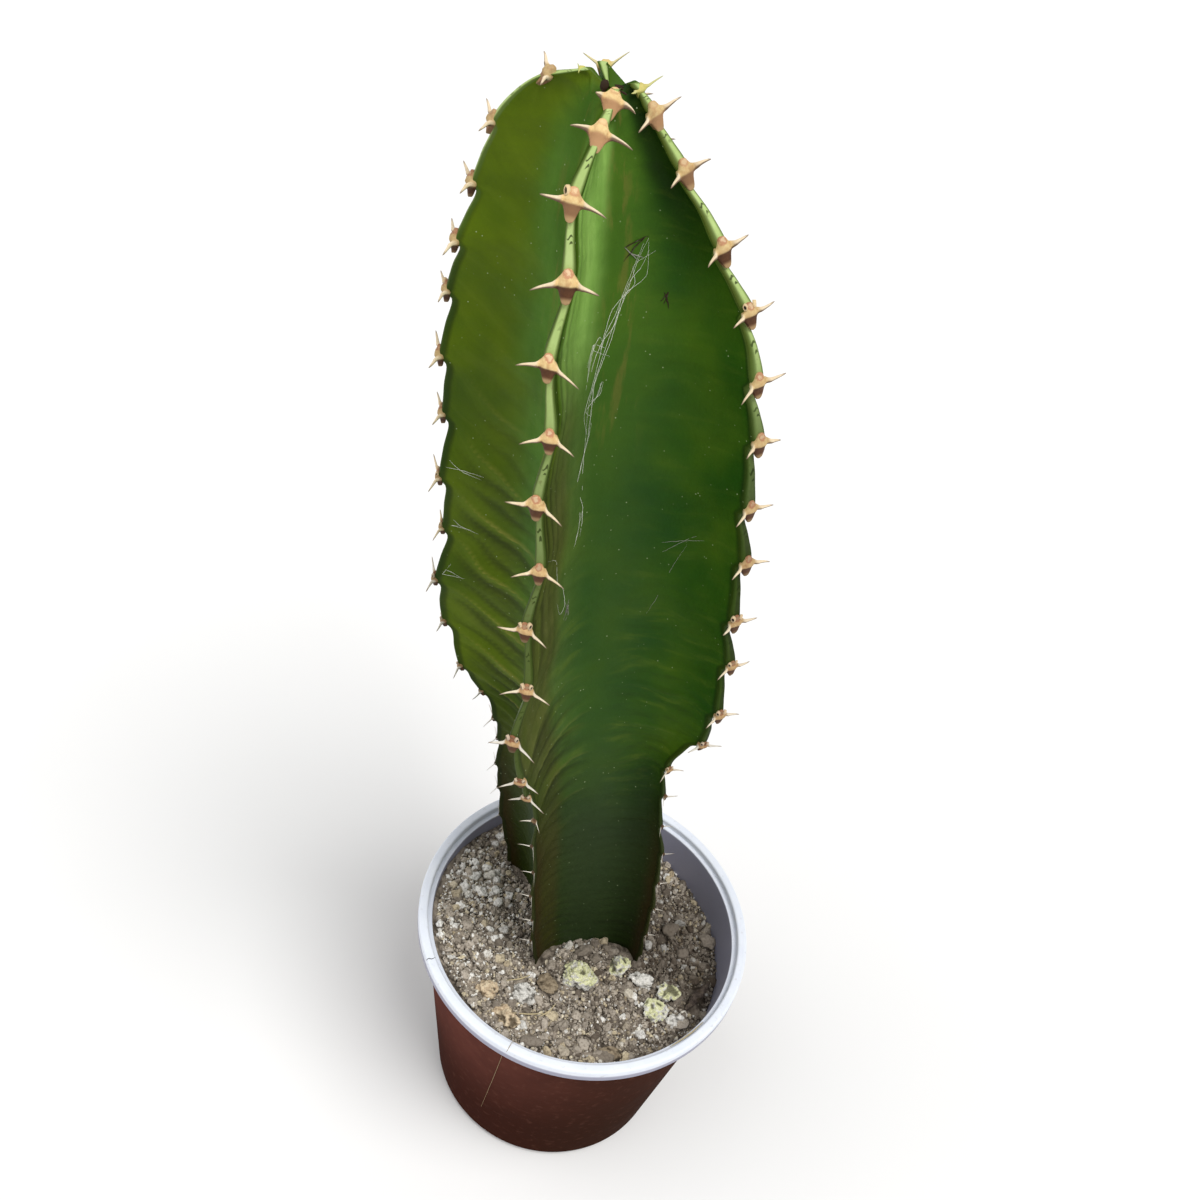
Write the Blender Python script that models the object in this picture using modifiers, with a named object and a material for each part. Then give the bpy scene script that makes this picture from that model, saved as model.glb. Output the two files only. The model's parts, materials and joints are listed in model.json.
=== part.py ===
"""A potted candelabra spurge: a four-ribbed succulent stem in a round nursery pot.

Metres, +Z up. The origin is the centre of the pot's underside, on the surface it stands on.
+X is to the right and +Y is away from the front rib. The stem leans towards -X.
"""
import math
import random
from collections import namedtuple

import bmesh
import bpy
import numpy as np
from mathutils import Matrix, Vector, noise

MM = 0.001
GAP = 0.3 * MM
BURR = 0.001 * MM

# Pot: one formed sheet with a rolled rim, a ledge inside it and a recessed drain ring
POT_HEIGHT = 99.5 * MM
RIM_RADIUS = 62 * MM
RIM_WIDTH = 3.5 * MM
LIP_DROP = 5.6 * MM
LEDGE_DROP = 2.6 * MM
LEDGE_WIDTH = 1.4 * MM
BASE_RADIUS = 46.3 * MM
WALL = 1.3 * MM
FLOOR = 1.5 * MM
CORNER = 4 * MM
RIM_EDGE = 0.6 * MM
DRAIN_RING = (20 * MM, 36 * MM)
DRAIN_RISE = 2.5 * MM
DRAIN_SLOPE = 1.6 * MM
DRAIN_HOLES = 6
DRAIN_HOLE_RADIUS = 3.2 * MM
POT_SIDES = 40

# Soil: a dished surface, high against the wall at the left and low at the right
SOIL_AT_STEM = 86 * MM
SOIL_EDGE_RISE = 1.8 * MM
SOIL_TILT = 8 * MM
SOIL_HIGH_BEARING = math.radians(205)
SOIL_EDGE_RADIUS = 55 * MM
SOIL_ROUGHNESS = 0.7 * MM
SOIL_RINGS = 8

# Stem: its centre line, which bows in its middle and bends a little upright at its tip
STEM_FOOT = Vector((-4.7, 12.4, 86)) * MM
STEM_LENGTH = 320 * MM
STEM_BURIED = 45 * MM
LEAN = 0.142
BOW = Vector((1.7, -5, 0)) * MM
TIP_DRIFT = Vector((1.8, 0, 0)) * MM
TWIST_AT_FOOT = math.radians(-20.6)
TWIST_GAIN = math.radians(15.4)
GROWING_POINT = 314 * MM

# Section: a thin rim on each rib, concave flanks and a rounded valley between two ribs
RIM_HALF_WIDTH = 1.9 * MM
RIM_ROUND = 0.9 * MM
VALLEY_RADII = ((-45, 12), (0, 16), (90, 16.5), (110, 15), (150, 13), (250, 12),
                (290, 9.5), (308, 6.5), (318, 4))
VALLEY_SAG = ((-45, 0), (285, 0), (305, 1.5), (318, 4))
FLANK_STEPS = 3
FLANK_LEAD = 0.42
FLANK_TRAIL = 0.36
FLANK_FLARE = 0.1

# Relief: each rib swells at a node and is cut back under it, and level folds cross the flanks
TOOTH = ((-45, 0), (0, 0.4), (100, 0.6), (125, 1.2), (280, 1.1), (312, 0.4), (318, 0))
TOOTH_SHAPE = {0.0: 1.0, 0.35: 0.3, 0.5: 0.0, 0.85: -1.0}
SWAY = ((-45, 0), (0, 0.3), (100, 0.5), (150, 1.2), (270, 1.0), (310, 0.2), (318, 0))
CURL_SHARE = ((-45, 0), (295, 0), (316, 1))
FOLD = ((-45, 0), (0, 0.25), (90, 0.4), (125, 0.9), (170, 0.7), (230, 0.15), (318, 0))
FOLDS_PER_NODE = 2
FOLD_INWARD = 0.3

# Ribs, anticlockwise. Bearings are in degrees, and facing is how far the rim turns to its
# left from straight outward. Curl is how far its top end bends to its left, in millimetres.
# Levels are (row, height) and radii are (height, radius), in millimetres along and across
# the stem. Each whole row is a node of the right and left ribs, and the front and back ribs
# have theirs halfway between.
Rib = namedtuple("Rib", "bearing facing curl first_node levels radii")
RIBS = (
    Rib(-8, -30, 0, 0.0,
        ((-3, -45), (0, 0), (4, 66), (7, 109), (10, 161), (15, 253), (17, 283.8),
         (19, 310.8), (20, 315.5), (20.5, 316.5)),
        ((-45, 19), (0, 32.7), (60, 36), (95, 33.2), (110, 34), (127, 44), (145, 48.6),
         (180, 48.8), (220, 48), (255, 45), (280, 34), (290, 27.8), (297, 21.6),
         (304, 16.6), (311, 11.6), (315.5, 7.7), (316.5, 6.5))),
    Rib(90, 0, 3.6, 0.5,
        ((-3, -45), (0.5, 8), (3.5, 54), (7.5, 113), (12.5, 206), (15.5, 262), (18.5, 307),
         (19.5, 316.5), (20.5, 318)),
        ((-45, 18), (0, 31), (35, 33.7), (88, 34), (105, 40), (140, 50.7), (180, 47.6),
         (220, 44.1), (255, 41.7), (280, 33.5), (297, 22), (308, 14.5), (317, 7), (318, 6))),
    Rib(182.9, 18, 0, 0.0,
        ((-3, -45), (0, 5), (5, 82), (7, 104), (8, 115), (10, 153), (15, 256), (17, 287),
         (18, 303.5), (19, 315), (20, 317.6), (20.5, 318)),
        ((-45, 18), (0, 30.2), (60, 34.3), (88, 33.3), (98, 35), (110, 43), (125, 49),
         (140, 52.4), (180, 48), (220, 45.4), (255, 42.2), (280, 35.6), (297, 30.8),
         (306, 26.8), (311, 22.8), (315, 17.5), (317.5, 8), (318, 6))),
    Rib(274, 11, 3, 0.5,
        ((-3, -45), (0.5, 5), (3.5, 51), (7.5, 112), (12.5, 206), (15.5, 263), (18.5, 310),
         (19.5, 314.5), (20.5, 316.5)),
        ((-45, 18), (0, 30), (35, 33.5), (90, 34.8), (105, 37), (125, 46), (140, 50.3),
         (180, 45.1), (220, 40.5), (255, 38), (280, 31), (297, 27), (308, 18.5), (314, 8.5),
         (316.5, 6))),
)
BURIED_ROWS = (-3.0, -2.0, -1.0)
TOP_ROW = 20.5
ROW_PHASES = tuple(TOOTH_SHAPE)

# Armature: a four-pointed star on the rim at each node above the soil. Its upper point and
# lower tail are the shield, and its side points are the two spines. Lengths are in
# millimetres and droops in degrees, over the height along the stem.
SHIELD_LENGTHS = ((0, 2.6), (95, 3.0), (125, 4.2), (290, 4.4), (318, 3.2))
SPINE_LENGTHS = ((0, 4.6), (95, 5.0), (120, 7.2), (180, 8.3), (300, 8.3), (318, 7))
SPINE_DROOPS = ((0, 12), (300, 12), (318, -22))
SHIELD_TOP = 0.7
SHIELD_RISE = 0.9 * MM
SHIELD_TOP_SINK = 0.9 * MM
SHIELD_TAIL_SINK = 0.5 * MM
TAIL_FOLLOWS_TOOTH = 2.4
STAR_ROOT = 1.9 * MM
STAR_WAIST = 1.33 * MM
SPINE_SPREAD = math.radians(71)
SPINE_JITTER = math.radians(8)
SPINE_START = 5 * MM
YOUNGEST_NODE = TOP_ROW - 0.3

# The stem's plain hole in the soil
HOLE_ROOM = 1.5 * GAP
HOLE_DEEPER = 2 * GAP
HOLE_ROWS_TO = 3
HOLE_TOP = 60 * MM

# Loose pieces on the soil: place (x, y), size (length, width, height), heading, sink
ROUGH_POINTS = 34
SOCKET_ROOM = 3.2 * GAP
Loose = namedtuple("Loose", "name place size heading sink tilt seed")
STONES = (
    Loose("stone_mossy_large", (3.5, -17.5), (13.5, 11, 9), 20, 0.35, 8, 3),
    Loose("stone_mossy_by_rib", (17.5, -7.8), (8.5, 7, 6.5), 60, 0.35, 0, 5),
    Loose("stone_white_by_rib", (27, -10.5), (10, 5.5, 4.5), 10, 0.4, 0, 8),
    Loose("stone_white_front", (-13.5, -32.5), (9.5, 8, 6.5), 110, 0.4, 0, 13),
    Loose("stone_mossy_right", (37.5, -11.5), (9.5, 7, 5.5), 15, 0.4, 0, 21),
    Loose("stone_mossy_right_front", (34, -20.5), (10, 8.5, 6), 75, 0.4, 0, 34),
    Loose("stone_white_right", (42.5, -21.5), (6.5, 5, 4.5), 40, 0.4, 0, 55),
    Loose("stone_tan_front", (-16.5, -45), (10.5, 8, 5), 160, 0.45, 0, 89),
    Loose("stone_tan_left", (-26.5, -36.5), (8.5, 7, 5), 30, 0.45, 0, 144),
)
BARK = (
    Loose("bark_flake", (-6.5, -24.8), (12, 7.5, 2.4), 120, 0.4, 16, 233),
    Loose("bark_strip", (48.5, -9.5), (15, 3.6, 2.2), 62, 0.4, 10, 377),
    Loose("bark_chip", (21.5, -44), (10, 6, 2.2), 20, 0.4, 8, 610),
)

# Colours and finishes
POT_COLOUR = (0.115, 0.034, 0.028)
SOIL_COLOUR = (0.19, 0.145, 0.1)
STEM_COLOUR = (0.07, 0.17, 0.03)
STONE_COLOURS = {"mossy": (0.5, 0.52, 0.3), "white": (0.62, 0.6, 0.54), "tan": (0.5, 0.39, 0.26)}
BARK_COLOUR = (0.16, 0.105, 0.07)


def remove_everything():
    for thing in list(bpy.data.objects):
        bpy.data.objects.remove(thing, do_unlink=True)


def new_collection(name):
    collection = bpy.data.collections.new(name)
    bpy.context.scene.collection.children.link(collection)
    return collection


def mesh_object(name, bm, collection):
    mesh = bpy.data.meshes.new(name)
    bm.to_mesh(mesh)
    bm.free()
    thing = bpy.data.objects.new(name, mesh)
    collection.objects.link(thing)
    return thing


def material(name, colour, roughness):
    made = bpy.data.materials.new(name)
    made.use_nodes = True
    shader = made.node_tree.nodes["Principled BSDF"]
    shader.inputs["Base Color"].default_value = (*colour, 1)
    shader.inputs["Roughness"].default_value = roughness
    shader.inputs["Metallic"].default_value = 0
    made.diffuse_color = (*colour, 1)
    return made


def dress(thing, colour, roughness, sharp_degrees):
    thing.data.materials.clear()
    thing.data.materials.append(material(thing.name, colour, roughness))
    thing.data.shade_smooth()
    thing.data.set_sharp_from_angle(angle=math.radians(sharp_degrees))


def as_cutter(thing):
    thing.hide_render = True
    thing.display_type = "WIRE"


def evaluated_copy(thing):
    """The mesh that an object has once its modifiers are applied."""
    graph = bpy.context.evaluated_depsgraph_get()
    return bpy.data.meshes.new_from_object(thing.evaluated_get(graph))


def smooth(anchors, where):
    """Read a smooth curve through (x, y) anchors that never overshoots them."""
    xs, ys = np.array(anchors, float).T
    secants = np.diff(ys) / np.diff(xs)
    slopes = np.zeros(len(xs))
    slopes[0], slopes[-1] = secants[0], secants[-1]
    before, after = secants[:-1], secants[1:]
    agree = before * after > 0
    slopes[1:-1][agree] = 2 * before[agree] * after[agree] / (before + after)[agree]
    where = np.clip(np.asarray(where, float), xs[0], xs[-1])
    i = np.clip(np.searchsorted(xs, where) - 1, 0, len(secants) - 1)
    run = xs[i + 1] - xs[i]
    t = (where - xs[i]) / run
    return ((1 + 2 * t) * (1 - t) ** 2 * ys[i] + t * (1 - t) ** 2 * run * slopes[i]
            + t * t * (3 - 2 * t) * ys[i + 1] + t * t * (t - 1) * run * slopes[i + 1])


def at_height(anchors, height):
    """A millimetre curve over millimetre heights, read at a height in metres, in metres."""
    return smooth(anchors, height / MM) * MM


# The stem's frame: its axis, and the two directions across it
AXIS = Vector((-LEAN, 0, math.sqrt(1 - LEAN * LEAN)))
ACROSS = (Vector((1, 0, 0)) - AXIS * AXIS.x).normalized()
AWAY = AXIS.cross(ACROSS)


def stem_point(height, radius, bearing):
    """Points at a height along the stem, a radius and a bearing round its centre line."""
    t = height / STEM_LENGTH
    bow = 4 * t * (1 - t)
    outward = (np.multiply.outer(np.cos(bearing), ACROSS)
               + np.multiply.outer(np.sin(bearing), AWAY))
    centre = (np.array(STEM_FOOT) + np.multiply.outer(height, AXIS)
              + np.multiply.outer(bow, BOW) + np.multiply.outer(t ** 6, TIP_DRIFT))
    return centre + np.asarray(radius)[..., None] * outward


def rib_height(rib, row):
    return smooth(rib.levels, row) * MM


def rib_bearing(rib, height):
    return math.radians(rib.bearing) + TWIST_AT_FOOT + TWIST_GAIN * height / STEM_LENGTH


def tooth_shape(rib, row):
    """How far the rib stands out between two nodes: 1 at a node, -1 just under the next."""
    phase = np.mod(row - rib.first_node, 1.0)
    shape = np.zeros_like(phase)
    for at, value in TOOTH_SHAPE.items():
        shape[np.isclose(phase, at)] = value
    return shape


def rib_tip_radius(rib, row, height):
    return at_height(rib.radii, height) + at_height(TOOTH, height) * tooth_shape(rib, row)


def rib_sway(rib, row, height):
    """The rim's small zigzag from node to node and its curl at the top, to the rib's left."""
    zigzag = at_height(SWAY, height) * np.cos(math.pi * (row - rib.first_node))
    return zigzag + rib.curl * at_height(CURL_SHARE, height)


def bezier(points, t):
    a, b, c, d = points
    s = 1 - t
    return s ** 3 * a + 3 * s * s * t * b + 3 * s * t * t * c + t ** 3 * d


def flank_column(rib, other, side, part, rows, grow):
    """One column of flank points, part of the way from a rib's rim (0) to the valley (1).

    side is 1 on the rib's left flank and -1 on its right one; other is the rib across the
    valley on that side.
    """
    own, across = rib_height(rib, rows), rib_height(other, rows)
    height = own + (across - own) * part / 2 - at_height(VALLEY_SAG, own) * part ** 2
    bearing = rib_bearing(rib, height)
    half = np.mod(side * (rib_bearing(other, height) - bearing), 2 * math.pi) / 2
    tip = rib_tip_radius(rib, rows, own) + grow
    valley = at_height(VALLEY_RADII, height) + grow
    width = np.minimum(RIM_HALF_WIDTH, tip / 3) + grow
    turn = side * math.radians(rib.facing)
    outward = np.array((math.cos(turn), math.sin(turn)))[:, None]
    sideways = np.array((-math.sin(turn), math.cos(turn)))[:, None]
    start = np.array((tip, 0 * tip)) - RIM_ROUND * outward + width * sideways
    end = np.array((valley * np.cos(half), valley * np.sin(half)))
    length = np.hypot(*(end - start))
    lead = start + FLANK_LEAD * length * (FLANK_FLARE * sideways - outward)
    trail = end + FLANK_TRAIL * length * np.array((np.sin(half), -np.cos(half)))
    x, y = bezier((start, lead, trail, end), part)
    waves = np.cos(2 * math.pi * FOLDS_PER_NODE * rows) * math.sin(math.pi * part)
    folds = at_height(FOLD, height) * waves
    x, y = x + folds * FOLD_INWARD, y + folds + side * rib_sway(rib, rows, own) * (1 - part)
    return stem_point(height, np.hypot(x, y), bearing + side * np.arctan2(y, x))


def tip_column(rib, rows, grow):
    height = rib_height(rib, rows)
    radius = rib_tip_radius(rib, rows, height) + grow
    sideways = rib_sway(rib, rows, height) / radius
    return stem_point(height, radius, rib_bearing(rib, height) + sideways)


def stem_rows():
    shown = [whole + phase for whole in range(int(TOP_ROW) + 1) for phase in ROW_PHASES]
    return np.array(BURIED_ROWS + tuple(row for row in shown if row <= TOP_ROW))


def stem_columns(rows, grow=0.0):
    """The stem's columns of points, anticlockwise from the right rib's tip."""
    columns = []
    parts = [step / FLANK_STEPS for step in range(FLANK_STEPS + 1)]
    for rib, other in zip(RIBS, RIBS[1:] + RIBS[:1]):
        columns.append(tip_column(rib, rows, grow))
        columns += [flank_column(rib, other, 1, part, rows, grow) for part in parts]
        columns += [flank_column(other, rib, -1, part, rows, grow) for part in parts[-2::-1]]
    return np.array(columns)


def loft(columns, bottom, top):
    """A closed solid over columns of points, with a point below and one above as its caps."""
    bm = bmesh.new()
    rings = [[bm.verts.new(point) for point in ring] for ring in columns.transpose(1, 0, 2)]
    for low, high in zip(rings, rings[1:]):
        for i in range(len(low)):
            j = (i + 1) % len(low)
            bm.faces.new((low[i], low[j], high[j], high[i]))
    for ring, middle, step in ((rings[0], bottom, -1), (rings[-1], top, 1)):
        centre = bm.verts.new(middle)
        for i in range(len(ring)):
            pair = (ring[i], ring[(i + 1) % len(ring)])
            bm.faces.new((*pair[::step], centre))
    bmesh.ops.triangulate(bm, faces=bm.faces, quad_method="SHORT_EDGE")
    return bm


def stem_body(collection):
    bottom = stem_point(-STEM_BURIED, 0.0, 0.0)
    top = stem_point(GROWING_POINT, 0.0, 0.0)
    return mesh_object("stem", loft(stem_columns(stem_rows()), bottom, top), collection)


def stem_hole(collection):
    """The stem's own shape near the soil, a little larger and longer, to cut the soil with."""
    rows = np.array([row for row in stem_rows() if row < HOLE_ROWS_TO])
    columns = stem_columns(rows, HOLE_ROOM)
    columns[:, 0] -= np.array(AXIS) * HOLE_DEEPER
    bottom = stem_point(-STEM_BURIED - HOLE_DEEPER, 0.0, 0.0)
    hole = loft(columns, bottom, stem_point(HOLE_TOP, 0.0, 0.0))
    cutter = mesh_object("stem_hole", hole, collection)
    as_cutter(cutter)
    return cutter


def nodes_above_soil():
    """Each node's height along the stem, its place on the rim, and the way the rim faces."""
    for rib in RIBS:
        row = rib.first_node
        while row < YOUNGEST_NODE:
            height = float(rib_height(rib, np.array([row]))[0])
            place = Vector(tip_column(rib, np.array([row]), 0.0)[0])
            facing = rib_bearing(rib, height) + math.radians(rib.facing)
            if place.z > soil_height(place.x, place.y) + SPINE_START:
                yield height, place, ACROSS * math.cos(facing) + AWAY * math.sin(facing)
            row += 1


def star(outline, crown, root):
    """A closed solid over a star's outline, with a point above its middle and one below."""
    bm = bmesh.new()
    ring = [bm.verts.new(point) for point in outline]
    above, below = bm.verts.new(crown), bm.verts.new(root)
    for here, there in zip(ring, ring[1:] + ring[:1]):
        bm.faces.new((here, there, above))
        bm.faces.new((there, here, below))
    bmesh.ops.recalc_face_normals(bm, faces=bm.faces)
    return bm


def armatures(collection):
    """A shield with two spreading spines at each node, its root well inside the rib."""
    draw = random.Random(11)
    for height, place, outward in nodes_above_soil():
        sideways = AXIS.cross(outward)
        reach = float(at_height(SHIELD_LENGTHS, height))
        cut_back = TAIL_FOLLOWS_TOOTH * float(at_height(TOOTH, height))
        lean = math.radians(float(smooth(SPINE_DROOPS, height / MM)))
        spines = []
        for side in (-1, 1):
            spread = SPINE_SPREAD + draw.uniform(-SPINE_JITTER, SPINE_JITTER)
            droop = lean + draw.uniform(-SPINE_JITTER, SPINE_JITTER)
            along = (outward * math.cos(spread) + sideways * side * math.sin(spread)
                     - AXIS * math.tan(droop)).normalized()
            spines.append(along * float(at_height(SPINE_LENGTHS, height)))
        points = [AXIS * SHIELD_TOP * reach - outward * SHIELD_TOP_SINK, spines[1],
                  -AXIS * reach - outward * (cut_back + SHIELD_TAIL_SINK), spines[0]]
        outline = []
        for point, after in zip(points, points[1:] + points[:1]):
            notch = (point.normalized() + after.normalized()).normalized() * STAR_WAIST
            outline += [place + point, place + notch]
        bm = star(outline, place + outward * SHIELD_RISE, place - outward * STAR_ROOT)
        mesh_object("star", bm, collection)


def apply_boolean(thing, operation, collection, solver):
    """One Boolean of an object with a whole collection, applied to the object's mesh."""
    boolean = thing.modifiers.new(operation.lower(), "BOOLEAN")
    boolean.operation = operation
    boolean.operand_type = "COLLECTION"
    boolean.collection = collection
    boolean.solver = solver
    mesh = evaluated_copy(thing)
    thing.modifiers.clear()
    old, thing.data = thing.data, mesh
    bpy.data.meshes.remove(old)
    mesh.name = thing.name


def empty_out(collection):
    for thing in list(collection.objects):
        bpy.data.objects.remove(thing, do_unlink=True)


def make_stem(parts, scratch):
    stem = stem_body(parts)
    armatures(scratch)
    apply_boolean(stem, "UNION", scratch, "MANIFOLD")
    empty_out(scratch)
    dress(stem, STEM_COLOUR, 0.42, 40)
    return stem


def inner_wall_radius(z):
    """The pot's inner radius on the plain cone between its floor and the ledge."""
    low, high = FLOOR + DRAIN_RISE, POT_HEIGHT - LEDGE_DROP
    narrow = BASE_RADIUS - WALL
    wide = RIM_RADIUS - RIM_WIDTH - LEDGE_WIDTH
    return narrow + (wide - narrow) * (z - low) / (high - low)


def floor_profile(rise):
    """The drain ring's outline from the middle outwards, at a height above the ground."""
    inner, outer = DRAIN_RING
    half = DRAIN_SLOPE / 2
    return [(inner - half, rise), (inner + half, rise + DRAIN_RISE),
            (outer - half, rise + DRAIN_RISE), (outer + half, rise)]


def quarter_turn(centre, radius, start, end, steps):
    """Points on an arc about a centre, between two angles in degrees."""
    angles = [math.radians(start + (end - start) * i / steps) for i in range(steps + 1)]
    return [(centre[0] + radius * math.cos(a), centre[1] + radius * math.sin(a))
            for a in angles]


def pot_profile():
    """From the middle of the floor up the inside, over the rim, down the outside and back."""
    top, ledge = POT_HEIGHT, POT_HEIGHT - LEDGE_DROP
    rim_inside = RIM_RADIUS - RIM_WIDTH
    wall_top = rim_inside - LEDGE_WIDTH
    lip_inside = RIM_RADIUS - WALL
    edge = RIM_EDGE
    step = RIM_EDGE / 2
    inside = [(0, FLOOR), *floor_profile(FLOOR)]
    inside += quarter_turn((BASE_RADIUS - WALL - CORNER / 2, FLOOR + CORNER / 2),
                           CORNER / 2, -90, 0, 2)
    inside += [(wall_top, ledge), (rim_inside - step, ledge), (rim_inside, top - edge)]
    rim = [(rim_inside + edge, top), (RIM_RADIUS - edge, top), (RIM_RADIUS, top - edge),
           (RIM_RADIUS, top - LIP_DROP + edge), (RIM_RADIUS - edge, top - LIP_DROP),
           (lip_inside, top - LIP_DROP + edge), (lip_inside - step, top - WALL)]
    outside = [(wall_top + WALL + step, top - WALL - edge),
               (wall_top + WALL, ledge - WALL - edge)]
    corner = quarter_turn((BASE_RADIUS - CORNER, CORNER), CORNER, 0, -90, 3)
    return inside + rim + outside + corner + floor_profile(0)[::-1] + [(0, 0)]


def turned(name, profile, sides, collection):
    """A profile in the XZ plane turned round Z with a Screw modifier, applied."""
    bm = bmesh.new()
    corners = [bm.verts.new((radius, 0, z)) for radius, z in profile]
    for pair in zip(corners, corners[1:]):
        bm.edges.new(pair)
    thing = mesh_object(name, bm, collection)
    screw = thing.modifiers.new("turn", "SCREW")
    screw.steps = sides
    screw.render_steps = sides
    screw.use_merge_vertices = True
    screw.merge_threshold = BURR
    screw.use_smooth_shade = False
    mesh = evaluated_copy(thing)
    thing.modifiers.clear()
    old, thing.data = thing.data, mesh
    bpy.data.meshes.remove(old)
    return thing


def make_pot(parts, scratch):
    pot = turned("pot", pot_profile(), POT_SIDES, parts)
    middle = sum(DRAIN_RING) / 2
    for i in range(DRAIN_HOLES):
        angle = math.radians(360 * (i + 0.5) / DRAIN_HOLES)
        bm = bmesh.new()
        bmesh.ops.create_cone(bm, segments=12, radius1=DRAIN_HOLE_RADIUS,
                              radius2=DRAIN_HOLE_RADIUS, depth=4 * FLOOR, cap_ends=True)
        drill = mesh_object("drain_hole", bm, scratch)
        drill.location = (middle * math.cos(angle), middle * math.sin(angle), DRAIN_RISE)
        as_cutter(drill)
    bpy.context.view_layer.update()
    apply_boolean(pot, "DIFFERENCE", scratch, "EXACT")
    empty_out(scratch)
    dress(pot, POT_COLOUR, 0.45, 35)
    return pot


def soil_height(x, y):
    """The soil's surface: level by the stem, with a rise towards one side of the rim."""
    radius, bearing = math.hypot(x, y), math.atan2(y, x)
    rise = SOIL_EDGE_RISE + SOIL_TILT * math.cos(bearing - SOIL_HIGH_BEARING)
    bumps = noise.noise(Vector((x, y, 0)) / (9 * MM))
    return SOIL_AT_STEM + rise * (radius / SOIL_EDGE_RADIUS) ** 2 + SOIL_ROUGHNESS * bumps


def soil_profile():
    """From the middle of the surface out to the wall, down it and back along the floor."""
    top, low = SOIL_AT_STEM, FLOOR + CORNER / 2
    edge = inner_wall_radius(top) - GAP
    surface = [(edge * i / SOIL_RINGS, top) for i in range(SOIL_RINGS + 1)]
    foot = inner_wall_radius(low) - GAP
    under = [(radius, z + GAP) for radius, z in floor_profile(FLOOR)[::-1]]
    corner = [(foot, low), (foot - CORNER / 2, FLOOR + GAP)]
    return surface + corner + under + [(0, FLOOR + GAP)]


def make_soil(parts, scratch):
    soil = turned("soil", soil_profile(), POT_SIDES, parts)
    plain_edge = inner_wall_radius(SOIL_AT_STEM) - GAP
    for vertex in soil.data.vertices:
        x, y, z = vertex.co
        if z > SOIL_AT_STEM - BURR:
            reach = math.hypot(x, y) / plain_edge
            edge_height = soil_height(x / max(reach, BURR), y / max(reach, BURR))
            wider = (inner_wall_radius(edge_height) - GAP) / plain_edge
            x, y = x * wider, y * wider
            vertex.co = (x, y, soil_height(x, y))
    stem_hole(scratch)
    apply_boolean(soil, "DIFFERENCE", scratch, "EXACT")
    empty_out(scratch)
    dress(soil, SOIL_COLOUR, 0.95, 30)
    return soil


def rough_solid(draw, size):
    """A convex angular solid of a given size: the hull of points scattered on an ellipsoid."""
    bm = bmesh.new()
    for _ in range(ROUGH_POINTS):
        direction = Vector([draw.gauss(0, 1) for _ in range(3)]).normalized()
        bm.verts.new(Vector(direction * half for direction, half in zip(direction, size)) / 2)
    hull = bmesh.ops.convex_hull(bm, input=bm.verts)
    inside = [item for item in hull["geom_interior"] if isinstance(item, bmesh.types.BMVert)]
    bmesh.ops.delete(bm, geom=inside, context="VERTS")
    bmesh.ops.recalc_face_normals(bm, faces=bm.faces)
    return bm


def make_loose(item, colour, roughness, parts, sockets):
    """A loose piece bedded in the soil, and the cutter of its socket."""
    draw = random.Random(item.seed)
    size = Vector(item.size) * MM
    x, y = item.place[0] * MM, item.place[1] * MM
    seat = Matrix.Translation((x, y, soil_height(x, y) + size.z * (0.5 - item.sink)))
    turn = (Matrix.Rotation(math.radians(item.heading), 4, "Z")
            @ Matrix.Rotation(math.radians(item.tilt), 4, "Y"))
    bm = rough_solid(draw, size)
    bm.transform(seat @ turn)
    piece = mesh_object(item.name, bm, parts)
    dress(piece, colour, roughness, 20)
    grown = Matrix.Diagonal([(length + SOCKET_ROOM) / length for length in size]).to_4x4()
    bm = bmesh.new()
    bm.from_mesh(piece.data)
    bm.transform(seat @ turn @ grown @ turn.inverted() @ seat.inverted())
    socket = mesh_object(item.name + "_socket", bm, sockets)
    as_cutter(socket)


def main():
    remove_everything()
    parts = new_collection("potted_candelabra_spurge")
    scratch = new_collection("cutters")
    make_pot(parts, scratch)
    soil = make_soil(parts, scratch)
    make_stem(parts, scratch)
    for item in STONES:
        make_loose(item, STONE_COLOURS[item.name.split("_")[1]], 0.85, parts, scratch)
    for item in BARK:
        make_loose(item, BARK_COLOUR, 0.9, parts, scratch)
    apply_boolean(soil, "DIFFERENCE", scratch, "EXACT")
    empty_out(scratch)


main()
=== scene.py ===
"""The looks of a potted candelabra spurge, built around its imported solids.

Metres, +Z up. The stem, the pot, the soil and the stones are replaced with finer pieces of the
same form, worked out from the same named values as the solids.
"""
import json
import math
import random
from collections import namedtuple
from functools import cache

import bmesh
import bpy
import numpy as np
from mathutils import Matrix, Vector, noise

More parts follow.
